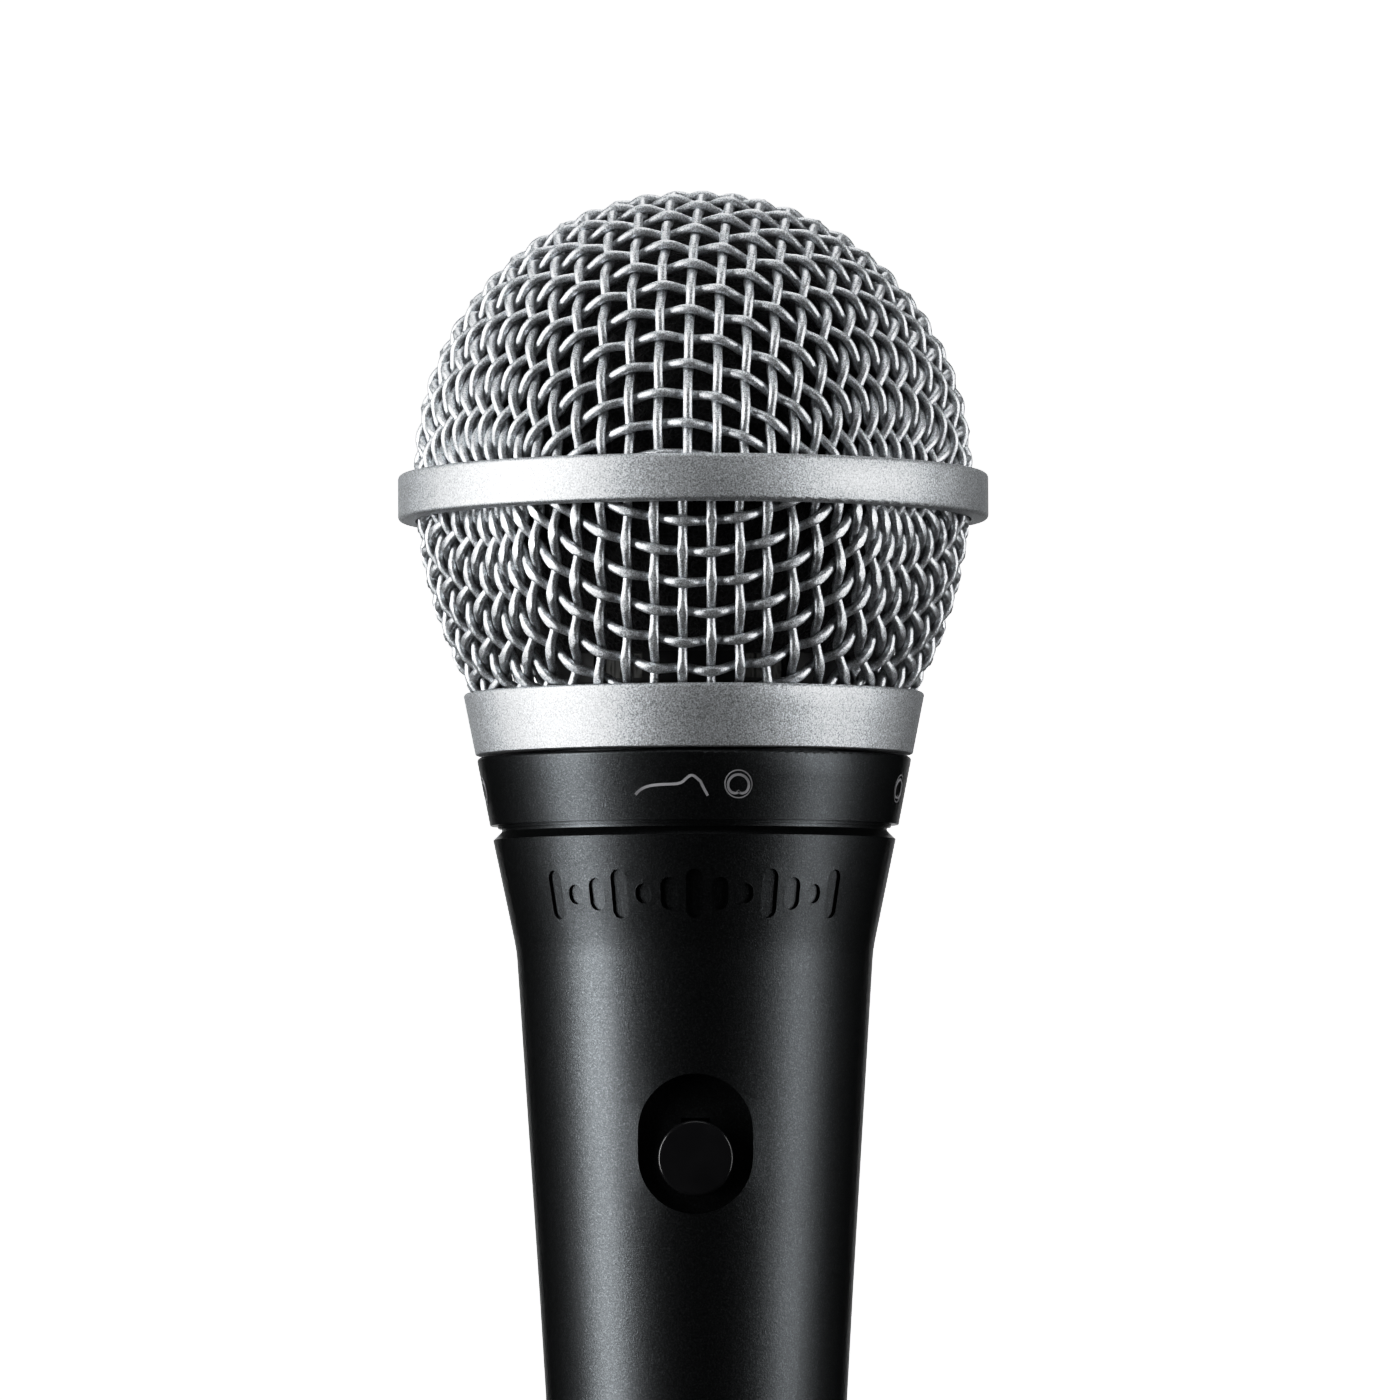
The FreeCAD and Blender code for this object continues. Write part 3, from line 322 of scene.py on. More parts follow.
def thin_film(name):
    """Clear polyester film with a faint haze."""
    nodes = Nodes(name)
    haze = nodes.noise(1.2 * MM, detail=2.0)
    nodes.colour(nodes.ramp(haze, (0.3, (0.70, 0.70, 0.66)), (0.7, (0.86, 0.86, 0.82))))
    nodes.set(Transmission_Weight=0.55, IOR=1.6)
    nodes.roughness(haze, 0.08, 0.2)
    nodes.bump((haze, 0.01 * MM))
    return nodes.material


def all_materials():
    """One material for each of the record's slots, and one for the printed marks, by name."""
    return {
        "grille_wire": satin_silver("satin_wire", 0.13 * MM, 0.68, 0.46, 0.64, 0.028 * MM),
        "grille_ring": satin_silver("satin_ring", 0.14 * MM, 0.57, 0.56, 0.68, 0.022 * MM),
        "handle_paint": charcoal("handle_enamel", (0.072, 0.076, 0.079), 0.32, 0.46, 0.15 * MM),
        "ring_paint": charcoal("ring_enamel", (0.070, 0.074, 0.077), 0.32, 0.46, 0.15 * MM),
        "foam": foam("black_foam"),
        "button_plastic": moulded("button_plastic", (0.012, 0.012, 0.013), 0.16, 0.26,
                                  0.09 * MM, 0.002 * MM),
        "black_plastic": moulded("black_plastic", (0.018, 0.018, 0.019), 0.40, 0.60),
        "rubber": moulded("soft_rubber", (0.020, 0.020, 0.020), 0.65, 0.85, 0.2 * MM, 0.01 * MM),
        "film": thin_film("diaphragm_film"),
        "cloth": woven_cloth("acoustic_cloth", (0.30, 0.30, 0.29), 0.25 * MM),
        "copper": wound_copper("enamelled_copper"),
        "contact_metal": turned_metal("plated_contact", (0.86, 0.74, 0.48), 0.14, 0.26),
        "steel": turned_metal("plain_steel", (0.56, 0.56, 0.57), 0.25, 0.42),
        "magnet": turned_metal("magnet_alloy", (0.30, 0.30, 0.31), 0.40, 0.60),
        "laminations": laminated("core_sheets", (0.20, 0.20, 0.21), 0.35 * MM),
        "board": laminated("brown_laminate", (0.30, 0.15, 0.06), 0.25 * MM),
        "bobbin": moulded("natural_nylon", (0.74, 0.71, 0.62), 0.40, 0.55),
        "screw_steel": turned_metal("zinc_plate", (0.62, 0.62, 0.60), 0.22, 0.36),
        "lead_yellow": moulded("yellow_lead", (0.72, 0.50, 0.03), 0.35, 0.50),
        "lead_green": moulded("green_lead", (0.03, 0.26, 0.07), 0.35, 0.50),
        "lead_white": moulded("white_lead", (0.72, 0.72, 0.70), 0.35, 0.50),
        "lead_red": moulded("red_lead", (0.48, 0.02, 0.015), 0.35, 0.50),
        "lead_black": moulded("black_lead", (0.015, 0.015, 0.015), 0.35, 0.50),
        "lead_blue": moulded("blue_lead", (0.02, 0.07, 0.36), 0.35, 0.50),
        "print": moulded("grey_print", (0.30, 0.30, 0.31), 0.45, 0.60, 0.08 * MM, 0.003 * MM),
    }


MATERIALS = all_materials()


# ---------------------------------------------------------------- pieces

def new_piece(name, points, faces, material, body, sharp=35):
    """A mesh piece, shaded smooth except at edges sharper than a given angle. A piece given no body is
    attached to none."""
    mesh = bpy.data.meshes.new(name)
    mesh.from_pydata(points, [], faces)
    mesh.validate()
    mesh.materials.append(MATERIALS[material])
    mesh.polygons.foreach_set("use_smooth", [True] * len(mesh.polygons))
    mesh.set_sharp_from_angle(angle=math.radians(sharp))
    piece = bpy.data.objects.new(name, mesh)
    bpy.context.scene.collection.objects.link(piece)
    if body:
        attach(piece, body)
    return piece


def ring_faces(rings, around, first=0, closed=True):
    """Quads between rings of points."""
    faces = []
    for row in range(rings - 1):
        for column in range(around if closed else around - 1):
            following = (column + 1) % around
            a = first + row * around
            b = a + around
            faces.append((a + column, a + following, b + following, b + column))
    return faces


def flipped(faces):
    """The same faces, turned to look the other way."""
    return [tuple(reversed(face)) for face in faces]


def edge_faces(row, under, columns, around):
    """Quads that join a row of points to the same row of a second skin, under points later."""
    faces = []
    for column in range(columns):
        here, following = row + column, row + (column + 1) % around
        faces.append((following, here, under + here, under + following))
    return faces


# ---------------------------------------------------------------- woven grille

WIRE_RADIUS = 0.415 * MM
CRIMP = 0.40 * MM
CROWN_CUT = 0.14 * MM
CROWN_SPREAD = 0.14
MESH_DEPTH = 0.70 * MM   # from the mesh's outside to the wires' middle
WIRE_ROOM = 0.4 * MM     # left free between a wire's end and the mesh's edge
WIRE_BITE = 1.2 * MM     # how far the bowl's wires go into the collar

# The pitches are from wire to wire, down the front and across it.
DOME_PITCH = (2.66 * MM, 2.58 * MM)
DOME_PHASE = (4, 4)
DOME_TURN = math.radians(-94.1)
BOWL_PITCH = (2.69 * MM, 2.49 * MM)
BOWL_PHASE = (8, -4)
BOWL_TURN = math.radians(-89.2)

# The bowl's side is an arc whose centre lies past the axis.
BOWL_CURVE = 37.7 * MM
BOWL_OFFSET = 12.7 * MM
BOWL_CENTRE = 137.7 * MM
BOWL_CORNER = 6 * MM

# The outward half of a wire's section is finer, because its flattened crowns show.
SECTION = np.radians(np.concatenate([np.arange(0, 181, 22.5), np.arange(210, 331, 30)]))
STEPS_PER_PITCH = 8
NEWTON_STEPS = 6


class Outline:
    """A curve from the axis outwards, made of straight runs and arcs, by distance along it."""

    def __init__(self, runs):
        self.runs = runs
        self.starts = np.cumsum([0] + [run["length"] for run in runs])

    @staticmethod
    def straight(start, end):
        start, end = np.array(start), np.array(end)
        length = float(np.linalg.norm(end - start))
        return {"length": length, "start": start, "way": (end - start) / length}

    @staticmethod
    def arc(centre, radius, first, last):
        return {"length": radius * abs(last - first), "centre": np.array(centre), "radius": radius,
                "first": first, "sense": math.copysign(1, last - first)}

    def at(self, distance):
        """Radius, height and direction at distances along the curve."""
        place = np.zeros(distance.shape + (2,))
        way = np.zeros(distance.shape + (2,))
        index = np.clip(np.searchsorted(self.starts, distance, side="right") - 1, 0, len(self.runs) - 1)
        for number, run in enumerate(self.runs):
            here = index == number
            along = distance[here] - self.starts[number]
            if "centre" in run:
                angle = run["first"] + run["sense"] * along / run["radius"]
                unit = np.stack([np.cos(angle), np.sin(angle)], axis=-1)
                place[here] = run["centre"] + run["radius"] * unit
                way[here] = run["sense"] * np.stack([-unit[:, 1], unit[:, 0]], axis=-1)
            else:
                place[here] = run["start"] + along[:, None] * run["way"]
                way[here] = run["way"]
        return place, way

    def points(self, distance, turn):
        """Points on the surface that the curve sweeps, with the curve's places and directions."""
        place, way = self.at(distance)
        cos, sin = np.cos(turn), np.sin(turn)
        radius, rise = place[..., 0], place[..., 1]
        points = np.stack([radius * cos, radius * sin, rise], axis=-1)
        return points, place, way


def cloth_quarter(outline, steps, count):
    """A quarter of a cloth of crossed threads laid over a round form, by knot numbers [i, j].

    The threads through the pole run straight down the form. Every other knot lies one step from
    the two knots before it, so the cloth's squares shear into diamonds, as woven wire does."""
    distance = np.full((count + 1, count + 1), np.nan)
    turn = np.full((count + 1, count + 1), np.nan)
    distance[:, 0] = np.arange(count + 1) * steps[0]
    distance[0, :] = np.arange(count + 1) * steps[1]
    turn[:, 0] = 0.0
    turn[0, :] = math.pi / 2
    for diagonal in range(2, 2 * count + 1):
        i = np.arange(max(1, diagonal - count), min(count, diagonal - 1) + 1)
        j = diagonal - i
        a = outline.points(distance[i - 1, j], turn[i - 1, j])[0]
        b = outline.points(distance[i, j - 1], turn[i, j - 1])[0]
        c = outline.points(distance[i - 1, j - 1], turn[i - 1, j - 1])[0]
        guess = a + b - c
        u = distance[i - 1, j] + distance[i, j - 1] - distance[i - 1, j - 1]
        v = np.arctan2(guess[:, 1], guess[:, 0])
        for _ in range(NEWTON_STEPS):
            point, place, way = outline.points(u, v)
            du = np.stack([way[:, 0] * np.cos(v), way[:, 0] * np.sin(v), way[:, 1]], axis=-1)
            dv = np.stack([-place[:, 0] * np.sin(v), place[:, 0] * np.cos(v), np.zeros_like(v)], axis=-1)
            to_a, to_b = point - a, point - b
            error_a = (to_a ** 2).sum(-1) - steps[0] ** 2
            error_b = (to_b ** 2).sum(-1) - steps[1] ** 2
            m11, m12 = 2 * (to_a * du).sum(-1), 2 * (to_a * dv).sum(-1)
            m21, m22 = 2 * (to_b * du).sum(-1), 2 * (to_b * dv).sum(-1)
            scale = m11 * m22 - m12 * m21
            u = u - (error_a * m22 - error_b * m12) / scale
            v = v - (m11 * error_b - m21 * error_a) / scale
        distance[i, j] = u
        turn[i, j] = v
    return distance, turn


def whole_cloth(outline, steps, count, rotation):
    """The full cloth from its quarters: points and outward normals at its (2 count + 1)^2 knots."""
    quarters = cloth_quarter(outline, steps, count), cloth_quarter(outline, steps[::-1], count)
    size = 2 * count + 1
    distance = np.zeros((size, size))
    turn = np.zeros((size, size))
    index = np.arange(-count, count + 1)
    i, j = np.meshgrid(index, index, indexing="ij")
    for number, (first, second, here) in enumerate((
            (i, j, (i > 0) & (j >= 0)), (j, -i, (i <= 0) & (j > 0)),
            (-i, -j, (i < 0) & (j <= 0)), (-j, i, (i >= 0) & (j < 0)))):
        quarter = quarters[number % 2]
        distance[here] = quarter[0][first[here], second[here]]
        turn[here] = quarter[1][first[here], second[here]] + number * math.pi / 2
    turn += rotation
    points, _, way = outline.points(distance, turn)
    normals = np.stack([way[..., 1] * np.cos(turn), way[..., 1] * np.sin(turn), -way[..., 0]], axis=-1)
    return points, normals


def wire_tube(centre, normal, wave, points, faces):
    """Add a crimped wire with flattened crowns to lists of points and faces."""
    path = centre + normal * (CRIMP * wave)[:, None]
    tangent = np.gradient(path, axis=0)
    tangent /= np.linalg.norm(tangent, axis=1)[:, None]
    side = np.cross(normal, tangent)
    side /= np.linalg.norm(side, axis=1)[:, None]
    up = np.cross(tangent, side)
    wide = WIRE_RADIUS * (1 + CROWN_SPREAD * np.clip(wave, 0, 1) ** 2)
    rings = (path[:, None] + side[:, None] * (wide[:, None] * np.cos(SECTION))[:, :, None]
             + up[:, None] * (WIRE_RADIUS * np.sin(SECTION))[None, :, None])
    lift = ((rings - centre[:, None]) * normal[:, None]).sum(-1)
    excess = np.clip(lift - (CRIMP + WIRE_RADIUS - CROWN_CUT), 0, None)
    rings -= normal[:, None] * excess[:, :, None]
    first = len(points)
    count = len(SECTION)
    points.extend(map(tuple, rings.reshape(-1, 3)))
    faces.extend(ring_faces(len(rings), count, first))
    faces.append(tuple(range(first + count - 1, first - 1, -1)))
    last = first + (len(rings) - 1) * count
    faces.append(tuple(range(last, last + count)))


def weave(name, node, outline, pitch, phase, rotation, keep):
    """Lay crossed wires over a form. pitch and phase are for the rows and the columns, and keep
    says which points of a wire's middle line are used."""
    steps = [value / STEPS_PER_PITCH for value in pitch]
    count = int(outline.starts[-1] / min(steps))
    points, normals = whole_cloth(outline, steps, count, rotation)
    index = np.arange(-count, count + 1)
    pieces = []
    for family, title in enumerate(("rows", "columns")):
        own, other = phase[family], phase[1 - family]
        line_points = points if family == 0 else points.transpose(1, 0, 2)
        line_normals = normals if family == 0 else normals.transpose(1, 0, 2)
        tube_points, tube_faces = [], []
        for line in np.flatnonzero((index - own) % STEPS_PER_PITCH == 0):
            number = (index[line] - own) // STEPS_PER_PITCH
            wave = np.cos(math.pi * ((index - other) / STEPS_PER_PITCH + number))
            if family == 1:
                wave = -wave
            centre, normal = line_points[line], line_normals[line]
            for first, last in runs_of(np.isfinite(centre[:, 0]) & keep(centre), 3):
                part = slice(first, last)
                wire_tube(centre[part], normal[part], wave[part], tube_points, tube_faces)
        pieces.append(new_piece(f"{name}_{title}", tube_points, tube_faces,
                                "grille_wire", "grille"))
    for piece in pieces:
        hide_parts(node)


def runs_of(flags, least):
    """(start, stop) of each unbroken run of true flags, at least so many long."""
    edges = np.flatnonzero(np.diff(np.concatenate([[False], flags, [False]]).astype(int)))
    return [(start, stop) for start, stop in zip(edges[::2], edges[1::2]) if stop - start >= least]


def dome_outline():
    """A half ball with a short straight skirt."""
    radius = DOME_RADIUS - MESH_DEPTH
    return Outline([
        Outline.arc((0, DOME_CENTRE), radius, math.pi / 2, 0),
        Outline.straight((radius, DOME_CENTRE), (radius, DOME_BOTTOM)),
    ])


def bowl_outline():
    """The bowl was pressed as a closed cup, whose bottom was cut away for the collar."""
    radius = BOWL_CURVE - MESH_DEPTH
    low_angle = math.asin((COLLAR_TOP - BOWL_CENTRE) / radius)
    high_angle = math.asin((BOWL_TOP - BOWL_CENTRE) / radius)
    middle = (-BOWL_OFFSET + (radius - BOWL_CORNER) * math.cos(low_angle),
              BOWL_CENTRE + (radius - BOWL_CORNER) * math.sin(low_angle))
    return Outline([
        Outline.straight((0, middle[1] - BOWL_CORNER), (middle[0], middle[1] - BOWL_CORNER)),
        Outline.arc(middle, BOWL_CORNER, -math.pi / 2, low_angle),
        Outline.arc((-BOWL_OFFSET, BOWL_CENTRE), radius, low_angle, high_angle),
    ])


def between(bottom, top=math.inf):
    """A test for points between two heights."""
    return lambda points: (points[:, 2] > bottom) & (points[:, 2] < top)


def woven_grille():
    """The wires of the dome and of the bowl."""
    weave("dome_wires", "grille_dome_mesh", dome_outline(), DOME_PITCH, DOME_PHASE, DOME_TURN,
          between(DOME_BOTTOM + WIRE_ROOM))
    weave("bowl_wires", "grille_bowl_mesh", bowl_outline(), BOWL_PITCH, BOWL_PHASE, BOWL_TURN,
          between(COLLAR_TOP - WIRE_BITE, BOWL_TOP - WIRE_ROOM))


# ---------------------------------------------------------------- foam

FOAM_RELIEF = 0.12 * MM
FOAM_SEED = 3
FOAM_AROUND = 96
ON_AXIS = 1e-6
DOME_FOAM = 3.0 * MM
BOWL_FOAM_OUTER = 35.8 * MM
BOWL_FOAM_INNER = 33.3 * MM
BOWL_FOAM_RAISE = 4 * MM
SLEEVE_BORE = 7.9 * MM
SLEEVE_FOOT = 11.07 * MM
SLEEVE_ROWS = 16


def foam_piece(name, node, outer, inner, body):
    """A foam lining from its outer and inner outlines, each listed from the bottom up. An outline
    that ends on the axis closes there."""
    around = FOAM_AROUND
    rng = np.random.default_rng(FOAM_SEED)
    corners = list(outer) + list(reversed(inner))
    points = []
    rings = []
    for radius, height in corners:
        if radius < ON_AXIS:
            rings.append([len(points)] * around)
            points.append((0, 0, height))
            continue
        rings.append(list(range(len(points), len(points) + around)))
        for column in range(around):
            angle = 2 * math.pi * column / around
            here = radius - FOAM_RELIEF * rng.random()
            points.append((here * math.cos(angle), here * math.sin(angle), height))
    faces = []
    for lower, upper in zip(rings, rings[1:] + rings[:1]):
        for column in range(around):
            following = (column + 1) % around
            corner_ids = [lower[column], lower[following], upper[following], upper[column]]
            face = list(dict.fromkeys(corner_ids))
            if len(face) > 2:
                faces.append(tuple(face))
    piece = new_piece(name, points, faces, "foam", body, sharp=60)
    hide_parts(node)


def arc_points(centre, radius, first, last, count):
    """Points along an arc, in a plane."""
    return [(centre[0] + radius * math.cos(angle), centre[1] + radius * math.sin(angle))
            for angle in np.linspace(first, last, count)]


def foam_liners():
    """The foam in the dome, closed at its top, and the foam in the bowl."""
    bottom = low("foam_liner_dome").z
    domes = []
    for radius in (high("foam_liner_dome").x, high("foam_liner_dome").x - DOME_FOAM):
        dome = [(radius, bottom)] + arc_points((0, DOME_CENTRE), radius, 0, math.pi / 2, 40)
        dome[-1] = (0, dome[-1][1])
        domes.append(dome)
    foam_piece("foam_dome", "foam_liner_dome", *domes, "foam_dome")

    base, top = low("foam_liner_bowl").z, high("foam_liner_bowl").z
    centre = (-BOWL_OFFSET, BOWL_CENTRE + BOWL_FOAM_RAISE)
    bowls = []
    for radius in (BOWL_FOAM_OUTER, BOWL_FOAM_INNER):
        first, last = (math.asin((height - centre[1]) / radius) for height in (base, top))
        bowls.append(arc_points(centre, radius, first, last, 14))
    foam_piece("foam_bowl", "foam_liner_bowl", *bowls, "foam_bowl")


def transformer_foam():
    """The foam sleeve that holds the transformer in the tapered handle."""
    heights = np.linspace(low("transformer_sleeve").z, high("transformer_sleeve").z, SLEEVE_ROWS)
    reaches = np.linspace(SLEEVE_FOOT, high("transformer_sleeve").x, SLEEVE_ROWS)
    outer = list(zip(reaches, heights))
    inner = [(SLEEVE_BORE + FOAM_RELIEF, height) for height in heights]
    foam_piece("foam_sleeve", "transformer_sleeve", outer, inner, "handle")


# ---------------------------------------------------------------- cloth

CLOTH_PITCH = 0.9 * MM
FRONT_CLOTH = 0.18 * MM    # half the thickness of the front cloth, without its relief
FRONT_RELIEF = 0.10 * MM
PORT_RADIUS = 12.45 * MM
PORT_CLOTH = 0.07 * MM
PORT_RELIEF = 0.06 * MM


def front_cloth():
    """A disc of woven cloth stretched over the front cap's holes."""
    radius = high("front_screen").x
    middle = (low("front_screen").z + high("front_screen").z) / 2
    rings, around = 60, 240
    points = []
    for side in (1, -1):
        for ring in range(rings):
            reach = radius * (ring + 1) / rings
            for column in range(around):
                angle = 2 * math.pi * column / around
                x, y = reach * math.cos(angle), reach * math.sin(angle)
                relief = math.cos(math.pi * x / CLOTH_PITCH) * math.cos(math.pi * y / CLOTH_PITCH)
                points.append((x, y, middle + side * FRONT_CLOTH + FRONT_RELIEF * relief))
    under = rings * around
    faces = ring_faces(rings, around)
    faces += flipped(ring_faces(rings, around, under))
    faces.append(tuple(range(around)))
    faces.append(tuple(range(under + around - 1, under - 1, -1)))
    faces += edge_faces((rings - 1) * around, under, around, around)
    piece = new_piece("front_cloth", points, faces, "cloth", "handle", sharp=60)
    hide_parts("front_screen")


def port_cloth():
    """A strip of woven cloth round the inside of the rear ports, too narrow to declare as a sheet."""
    bottom, top = low("rear_port_cloth").z, high("rear_port_cloth").z
    rows, around = 24, 360
    waves = round(math.pi * PORT_RADIUS / CLOTH_PITCH)
    points = []
    for side in (1, -1):
        for row in range(rows):
            height = bottom + (top - bottom) * row / (rows - 1)
            for column in range(around):
                angle = 2 * math.pi * column / around
                relief = math.cos(waves * angle) * math.cos(math.pi * height / CLOTH_PITCH)
                reach = PORT_RADIUS + side * PORT_CLOTH + PORT_RELIEF * relief
                points.append((reach * math.cos(angle), reach * math.sin(angle), height))
    inside = rows * around
    faces = ring_faces(rows, around)
    faces += flipped(ring_faces(rows, around, inside))
    faces += edge_faces(0, inside, around, around)
    faces += flipped(edge_faces((rows - 1) * around, inside, around, around))
    piece = new_piece("port_cloth", points, faces, "cloth", "handle", sharp=60)
    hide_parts("rear_port_cloth")


# ---------------------------------------------------------------- the diaphragm's rolled edge

ROLL_INNER = 6.60 * MM
ROLL_OUTER = 11.2 * MM
ROLL_RISE = 0.9 * MM
RIM_OUTER = 12.6 * MM
FILM = 0.15 * MM
ROLL_SECTORS = 12
WAVES_PER_SECTOR = 4
RIPPLE_SHARE = 0.06   # of the roll's height
RIPPLE_SLANT = 8      # radians of a ripple from the dome to the roll's middle


def film_edge():
    """The half-roll between the dome and the clamped rim, with slanted ripples pressed into it.
    Each sector is a piece of its own, attached to no body."""
    seat = low("diaphragm_surround").z
    half = (ROLL_OUTER - ROLL_INNER) / 2
    curve = (half ** 2 + ROLL_RISE ** 2) / (2 * ROLL_RISE)
    reaches = list(np.linspace(ROLL_INNER, ROLL_OUTER, 15)) + [RIM_OUTER]
    columns = 24
    width = 2 * math.pi / ROLL_SECTORS
    for sector in range(ROLL_SECTORS):
        points = []
        for thickness in (FILM, 0):
            for reach in reaches:
                off_middle = min(abs(reach - ROLL_INNER - half), half)
                rise = math.sqrt(curve ** 2 - off_middle ** 2) - curve + ROLL_RISE
                for column in range(columns + 1):
                    angle = (sector + column / columns) * width
                    slant = RIPPLE_SLANT * (reach - ROLL_INNER) / half
                    turn = ROLL_SECTORS * WAVES_PER_SECTOR * angle + slant
                    ripple = RIPPLE_SHARE * rise * math.cos(turn)
                    points.append((reach * math.cos(angle), reach * math.sin(angle),
                                   seat + thickness + rise + ripple))
        rows, around = len(reaches), columns + 1
        under = rows * around
        faces = flipped(ring_faces(rows, around, closed=False))
        faces += ring_faces(rows, around, under, closed=False)
        faces += flipped(edge_faces(0, under, columns, around))
        faces += edge_faces((rows - 1) * around, under, columns, around)
        piece = new_piece(f"film_edge_{sector + 1}", points, faces, "film", None, sharp=60)
        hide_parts("diaphragm_surround")
        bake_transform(piece)


# ---------------------------------------------------------------- printed marks and the thread

PRINT_THICKNESS = 0.03 * MM
RING_EDGE = 19.5 * MM       # the ring's cone at its top, without the rounded edge
RING_SLOPE = 1.2 / 6.07
MARK_HEIGHT = 110.1 * MM
CIRCLE_RADIUS = 1.2 * MM
CIRCLE_LINE = 0.12 * MM
HEART_SIZE = 0.72 * MM
HEART_DROP = 0.63 * MM
HEART_LINE = 0.24 * MM
MARK_POINTS = 48
CURVE_LENGTH = 6.4 * MM
CURVE_LINE = 0.26 * MM
CURVE_LEFT = -5.2 * MM
HEART_RIGHT = 3.9 * MM
SIDE_MARKS = (-82, 74)


def on_ring(azimuth, across, up):
    """A place on the neck ring's cone. Azimuth 0 is the front, and across and up are distances."""
    height = MARK_HEIGHT + up
    radius = RING_EDGE - (RING_TOP - height) * RING_SLOPE
    angle = math.radians(azimuth - 90) + across / radius
    return Vector((radius * math.cos(angle), radius * math.sin(angle), height))


def stroke(azimuth, line, width, closed, points, faces):
    """Add a thin printed line that follows (across, up) places on the ring."""
    angle = math.radians(azimuth - 90)
    axis = Vector((math.cos(angle), math.sin(angle), 0))
    lift = axis * PRINT_THICKNESS
    places = [on_ring(azimuth, *place) for place in line]
    count = len(places)
    first = len(points)
    for index, place in enumerate(places):
        before = places[index - 1] if closed or index else place
        after = places[(index + 1) % count] if closed or index < count - 1 else place
        side = (after - before).cross(axis).normalized() * width / 2
        left, right = place - side, place + side
        points.extend(map(tuple, (left - lift, left + lift, right + lift, right - lift)))
    for index in range(count if closed else count - 1):
        here = first + 4 * index
        there = first + 4 * ((index + 1) % count)
        for corner in range(4):
            following = (corner + 1) % 4
            faces.append((here + corner, here + following, there + following, there + corner))
    if not closed:
        last = first + 4 * (count - 1)
        faces.append((first + 3, first + 2, first + 1, first))
        faces.append((last, last + 1, last + 2, last + 3))


def pickup_pattern(azimuth, centre, points, faces):
    """The heart-shaped pickup pattern inside a circle."""
    circle, heart = [], []
    for turn in np.linspace(0, 2 * math.pi, MARK_POINTS, endpoint=False):
        circle.append((centre + CIRCLE_RADIUS * math.cos(turn), CIRCLE_RADIUS * math.sin(turn)))
        reach = HEART_SIZE * (1 + math.cos(turn))
        heart.append((centre + reach * math.sin(turn), reach * math.cos(turn) - HEART_DROP))
    stroke(azimuth, circle, CIRCLE_LINE, True, points, faces)
    stroke(azimuth, heart, HEART_LINE, True, points, faces)


def response_curve(azimuth, left, points, faces):
    """A level line that rolls off at its low end and rises a little before its high end."""
    line = []
    for share in np.linspace(0, 1, 40):
        low_end = -0.9 * math.exp(-share * 9)
        presence = 0.75 * math.exp(-((share - 0.78) / 0.11) ** 2)
        high_end = -10.4 * max(0, share - 0.9)
        line.append((left + share * CURVE_LENGTH, (low_end + presence + high_end) * MM))
    stroke(azimuth, line, CURVE_LINE, False, points, faces)


def printed_marks():
    """The marks on the neck ring: both at the front, and the pickup pattern on each side."""
    points, faces = [], []
    response_curve(0, CURVE_LEFT, points, faces)
    pickup_pattern(0, HEART_RIGHT, points, faces)
    for azimuth in SIDE_MARKS:
        pickup_pattern(azimuth, 0, points, faces)
    new_piece("ring_marks", points, faces, "print", "handle")


THREAD_PITCH = 1.0 * MM
THREAD_ROOT = 16.15 * MM
THREAD_CREST = 16.40 * MM
THREAD_FOOT = 0.42    # half the ridge's width at its root, in pitches
THREAD_TIP = 0.08     # half its width at its crest
THREAD_AROUND = 96
THREAD_FADE = 16      # steps over which the ridge rises at each end


def handle_thread():
    """The ridge of the screw thread that holds the grille."""
    around = THREAD_AROUND
    bottom, top = RING_TOP + 0.5 * MM, HANDLE_TOP - 0.6 * MM
    turns = (top - bottom) / THREAD_PITCH
    count = int(turns * around)
    points, faces = [], []
    for index in range(count + 1):
        angle = 2 * math.pi * index / around
        height = bottom + THREAD_PITCH * index / around
        fade = min(1, index / THREAD_FADE, (count - index) / THREAD_FADE)
        crest = THREAD_ROOT + (THREAD_CREST - THREAD_ROOT) * fade
        for radius, rise in ((THREAD_ROOT, -THREAD_FOOT), (crest, -THREAD_TIP),
                             (crest, THREAD_TIP), (THREAD_ROOT, THREAD_FOOT)):
            points.append((radius * math.cos(angle), radius * math.sin(angle),
                           height + rise * THREAD_PITCH))
    for index in range(count):
        here = 4 * index
        for corner in range(4):
            following = (corner + 1) % 4
            faces.append((here + corner, here + 4 + corner, here + 4 + following, here + following))
    faces.append((0, 1, 2, 3))
    faces.append((4 * count + 3, 4 * count + 2, 4 * count + 1, 4 * count))
    new_piece("handle_thread", points, faces, "handle_paint", "handle")


# ---------------------------------------------------------------- CAD nodes

WELD_DISTANCE = 0.001 * MM
SHARP_EDGE = math.radians(30)


def smooth_shading(piece):
    """Shade a CAD node as one smooth surface between its sharp edges, with no line at its seam."""
    weld = piece.modifiers.new("weld", "WELD")
    weld.merge_threshold = WELD_DISTANCE
    split = piece.modifiers.new("split", "EDGE_SPLIT")
    split.split_angle = SHARP_EDGE
    normals = piece.modifiers.new("normals", "WEIGHTED_NORMAL")
    normals.mode = "CORNER_ANGLE"
    normals.keep_sharp = False


def dress_nodes():
    """Give every CAD node the material of its slot, and smooth shading."""
    slots = {part["node"]: part["material_slot"] for part in frame["record"]["subparts"]}
    for node, piece in frame["nodes"].items():
        for place in piece.material_slots:
            place.material = MATERIALS[slots[node]]
        smooth_shading(piece)


# ---------------------------------------------------------------- stage, lights and camera

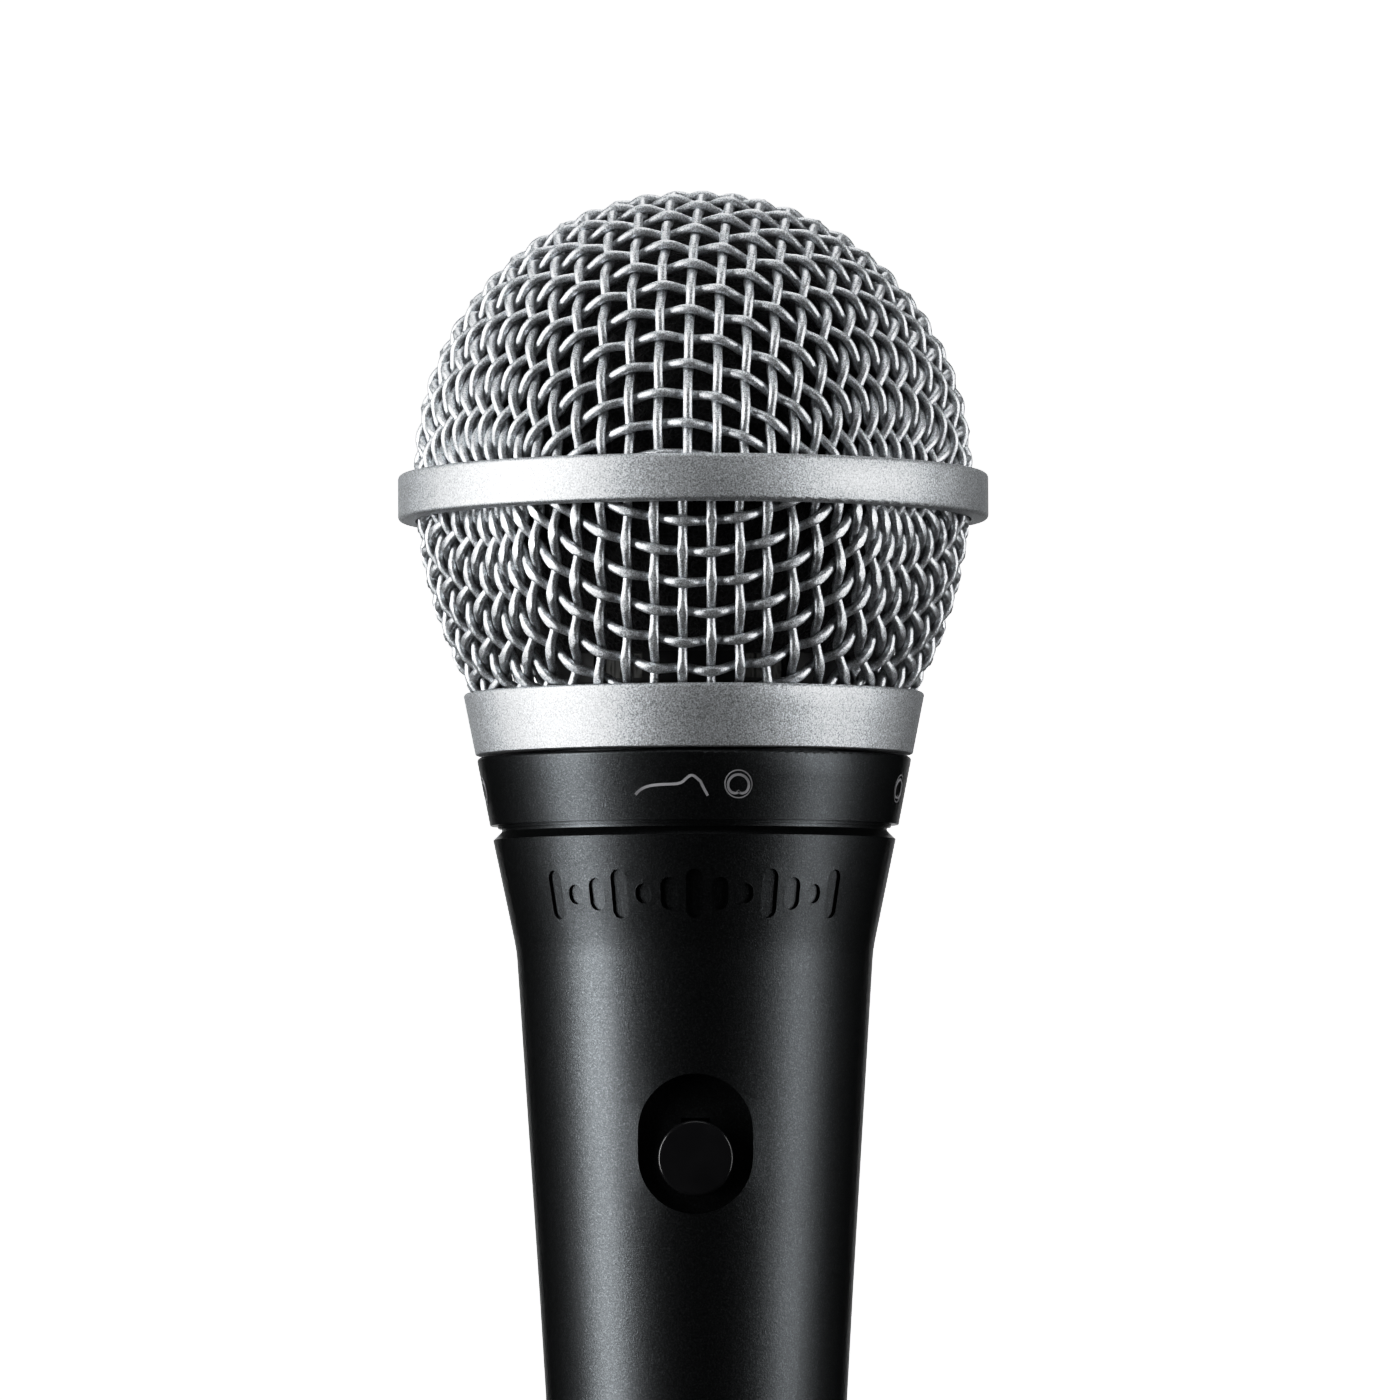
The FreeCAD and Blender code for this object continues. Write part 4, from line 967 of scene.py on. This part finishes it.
STAGE_RADIUS = 2.2
STAGE_CORNER = 0.6
STAGE_HEIGHT = 3.0
STAGE_AROUND = 96


def cyclorama():
    """A pale floor that curves up into a wall all round."""
    around = STAGE_AROUND
    flat = STAGE_RADIUS - STAGE_CORNER
    corners = [(1 * MM, 0), (flat, 0)]
    corners += arc_points((flat, STAGE_CORNER), STAGE_CORNER, -math.pi / 2, 0, 16)[1:]
    corners.append((STAGE_RADIUS, STAGE_HEIGHT))
    points = [(r * math.cos(2 * math.pi * k / around), r * math.sin(2 * math.pi * k / around), h)
              for r, h in corners for k in range(around)]
    faces = ring_faces(len(corners), around)
    faces.append(tuple(range(around)))
    mesh = bpy.data.meshes.new("cyclorama")
    mesh.from_pydata(points, [], faces)
    mesh.polygons.foreach_set("use_smooth", [True] * len(mesh.polygons))
    nodes = Nodes("pale_floor")
    haze = nodes.noise(0.4, detail=1.0)
    nodes.colour(nodes.ramp(haze, (0.3, 0.86), (0.7, 0.90)))
    distance = nodes.add("ShaderNodeVectorMath", operation="LENGTH")
    nodes.join(nodes.place, distance.inputs[0])
    glow = nodes.ramp(distance.outputs["Value"], (0.15, 0.80), (0.70, 1.0))
    nodes.join(glow, nodes.shader.inputs["Emission Color"])
    nodes.set(Roughness=1.0, Emission_Strength=1.0, Specular_IOR_Level=0.0)
    mesh.materials.append(nodes.material)
    stage = bpy.data.objects.new("cyclorama", mesh)
    bpy.context.scene.collection.objects.link(stage)
    stage.visible_glossy = False
    stage.visible_diffuse = False
    stage.visible_shadow = False


# Name, azimuth in degrees (0 in front, positive to the right), height, distance, width, tallness
# and power of each light
SOFTBOXES = (
    ("left_softbox", -68, 0.16, 0.60, 0.30, 0.60, 5.2),
    ("right_softbox", 72, 0.16, 0.60, 0.26, 0.60, 2.7),
    ("top_softbox", 180, 0.70, 0.25, 0.40, 0.40, 1.2),
    ("front_softbox", 0, 0.75, 0.25, 0.40, 0.40, 0.9),
    ("back_softbox", 180, 0.16, 0.70, 0.50, 0.60, 1.4),
)
LIGHT_TARGET = Vector((0, 0, 0.11))
WORLD_STRENGTH = 0.004


def softbox(name, azimuth, height, distance, width, tall, power):
    """An area light that looks at the neck of the microphone."""
    light = bpy.data.lights.new(name, "AREA")
    light.shape = "RECTANGLE"
    light.size, light.size_y = width, tall
    light.energy = power
    lamp = bpy.data.objects.new(name, light)
    angle = math.radians(azimuth)
    lamp.location = (distance * math.sin(angle), -distance * math.cos(angle), height)
    aim = LIGHT_TARGET - lamp.location
    lamp.rotation_euler = aim.to_track_quat("-Z", "Y").to_euler()
    bpy.context.scene.collection.objects.link(lamp)


def lights():
    """The softboxes and a very dim world."""
    for settings in SOFTBOXES:
        softbox(*settings)
    world = bpy.data.worlds.new("studio")
    world.use_nodes = True
    background = world.node_tree.nodes["Background"]
    background.inputs["Color"].default_value = (1, 1, 1, 1)
    background.inputs["Strength"].default_value = WORLD_STRENGTH
    bpy.context.scene.world = world


LENS_LENGTH = 200.9
CAMERA_PLACE = (0.54 * MM, -700 * MM, BAND_TOP - 53.08 * MM)
CAMERA_PITCH = math.radians(90 + 2.69)
CAMERA_ROLL = math.radians(-0.222)


def camera():
    """A long lens a little below the grille, looking slightly up."""
    lens = bpy.data.cameras.new("camera")
    lens.lens = LENS_LENGTH
    lens.sensor_width = 36
    lens.clip_end = 100
    eye = bpy.data.objects.new("camera", lens)
    turn = Matrix.Rotation(CAMERA_PITCH, 4, "X") @ Matrix.Rotation(CAMERA_ROLL, 4, "Z")
    eye.matrix_world = Matrix.Translation(CAMERA_PLACE) @ turn
    bpy.context.scene.collection.objects.link(eye)
    bpy.context.scene.camera = eye


# Light levels before and after the curve, for deep blacks and clean highlights
CONTRAST = (
    (0.006, 0.0024), (0.045, 0.024), (0.127, 0.085), (0.223, 0.19),
    (0.352, 0.37), (0.485, 0.59), (0.578, 0.70), (0.716, 0.82),
)
ALL_CHANNELS = 3   # the curve that acts on red, green and blue together


def studio_contrast():
    """The tone curve of the finished picture."""
    view = bpy.context.scene.view_settings
    view.view_transform = "Standard"
    view.use_curve_mapping = True
    curve = view.curve_mapping.curves[ALL_CHANNELS]
    for level, result in CONTRAST:
        curve.points.new(level, result)
    view.curve_mapping.update()


dress_nodes()
woven_grille()
foam_liners()
transformer_foam()
front_cloth()
port_cloth()
film_edge()
printed_marks()
handle_thread()
cyclorama()
lights()
camera()
studio_contrast()
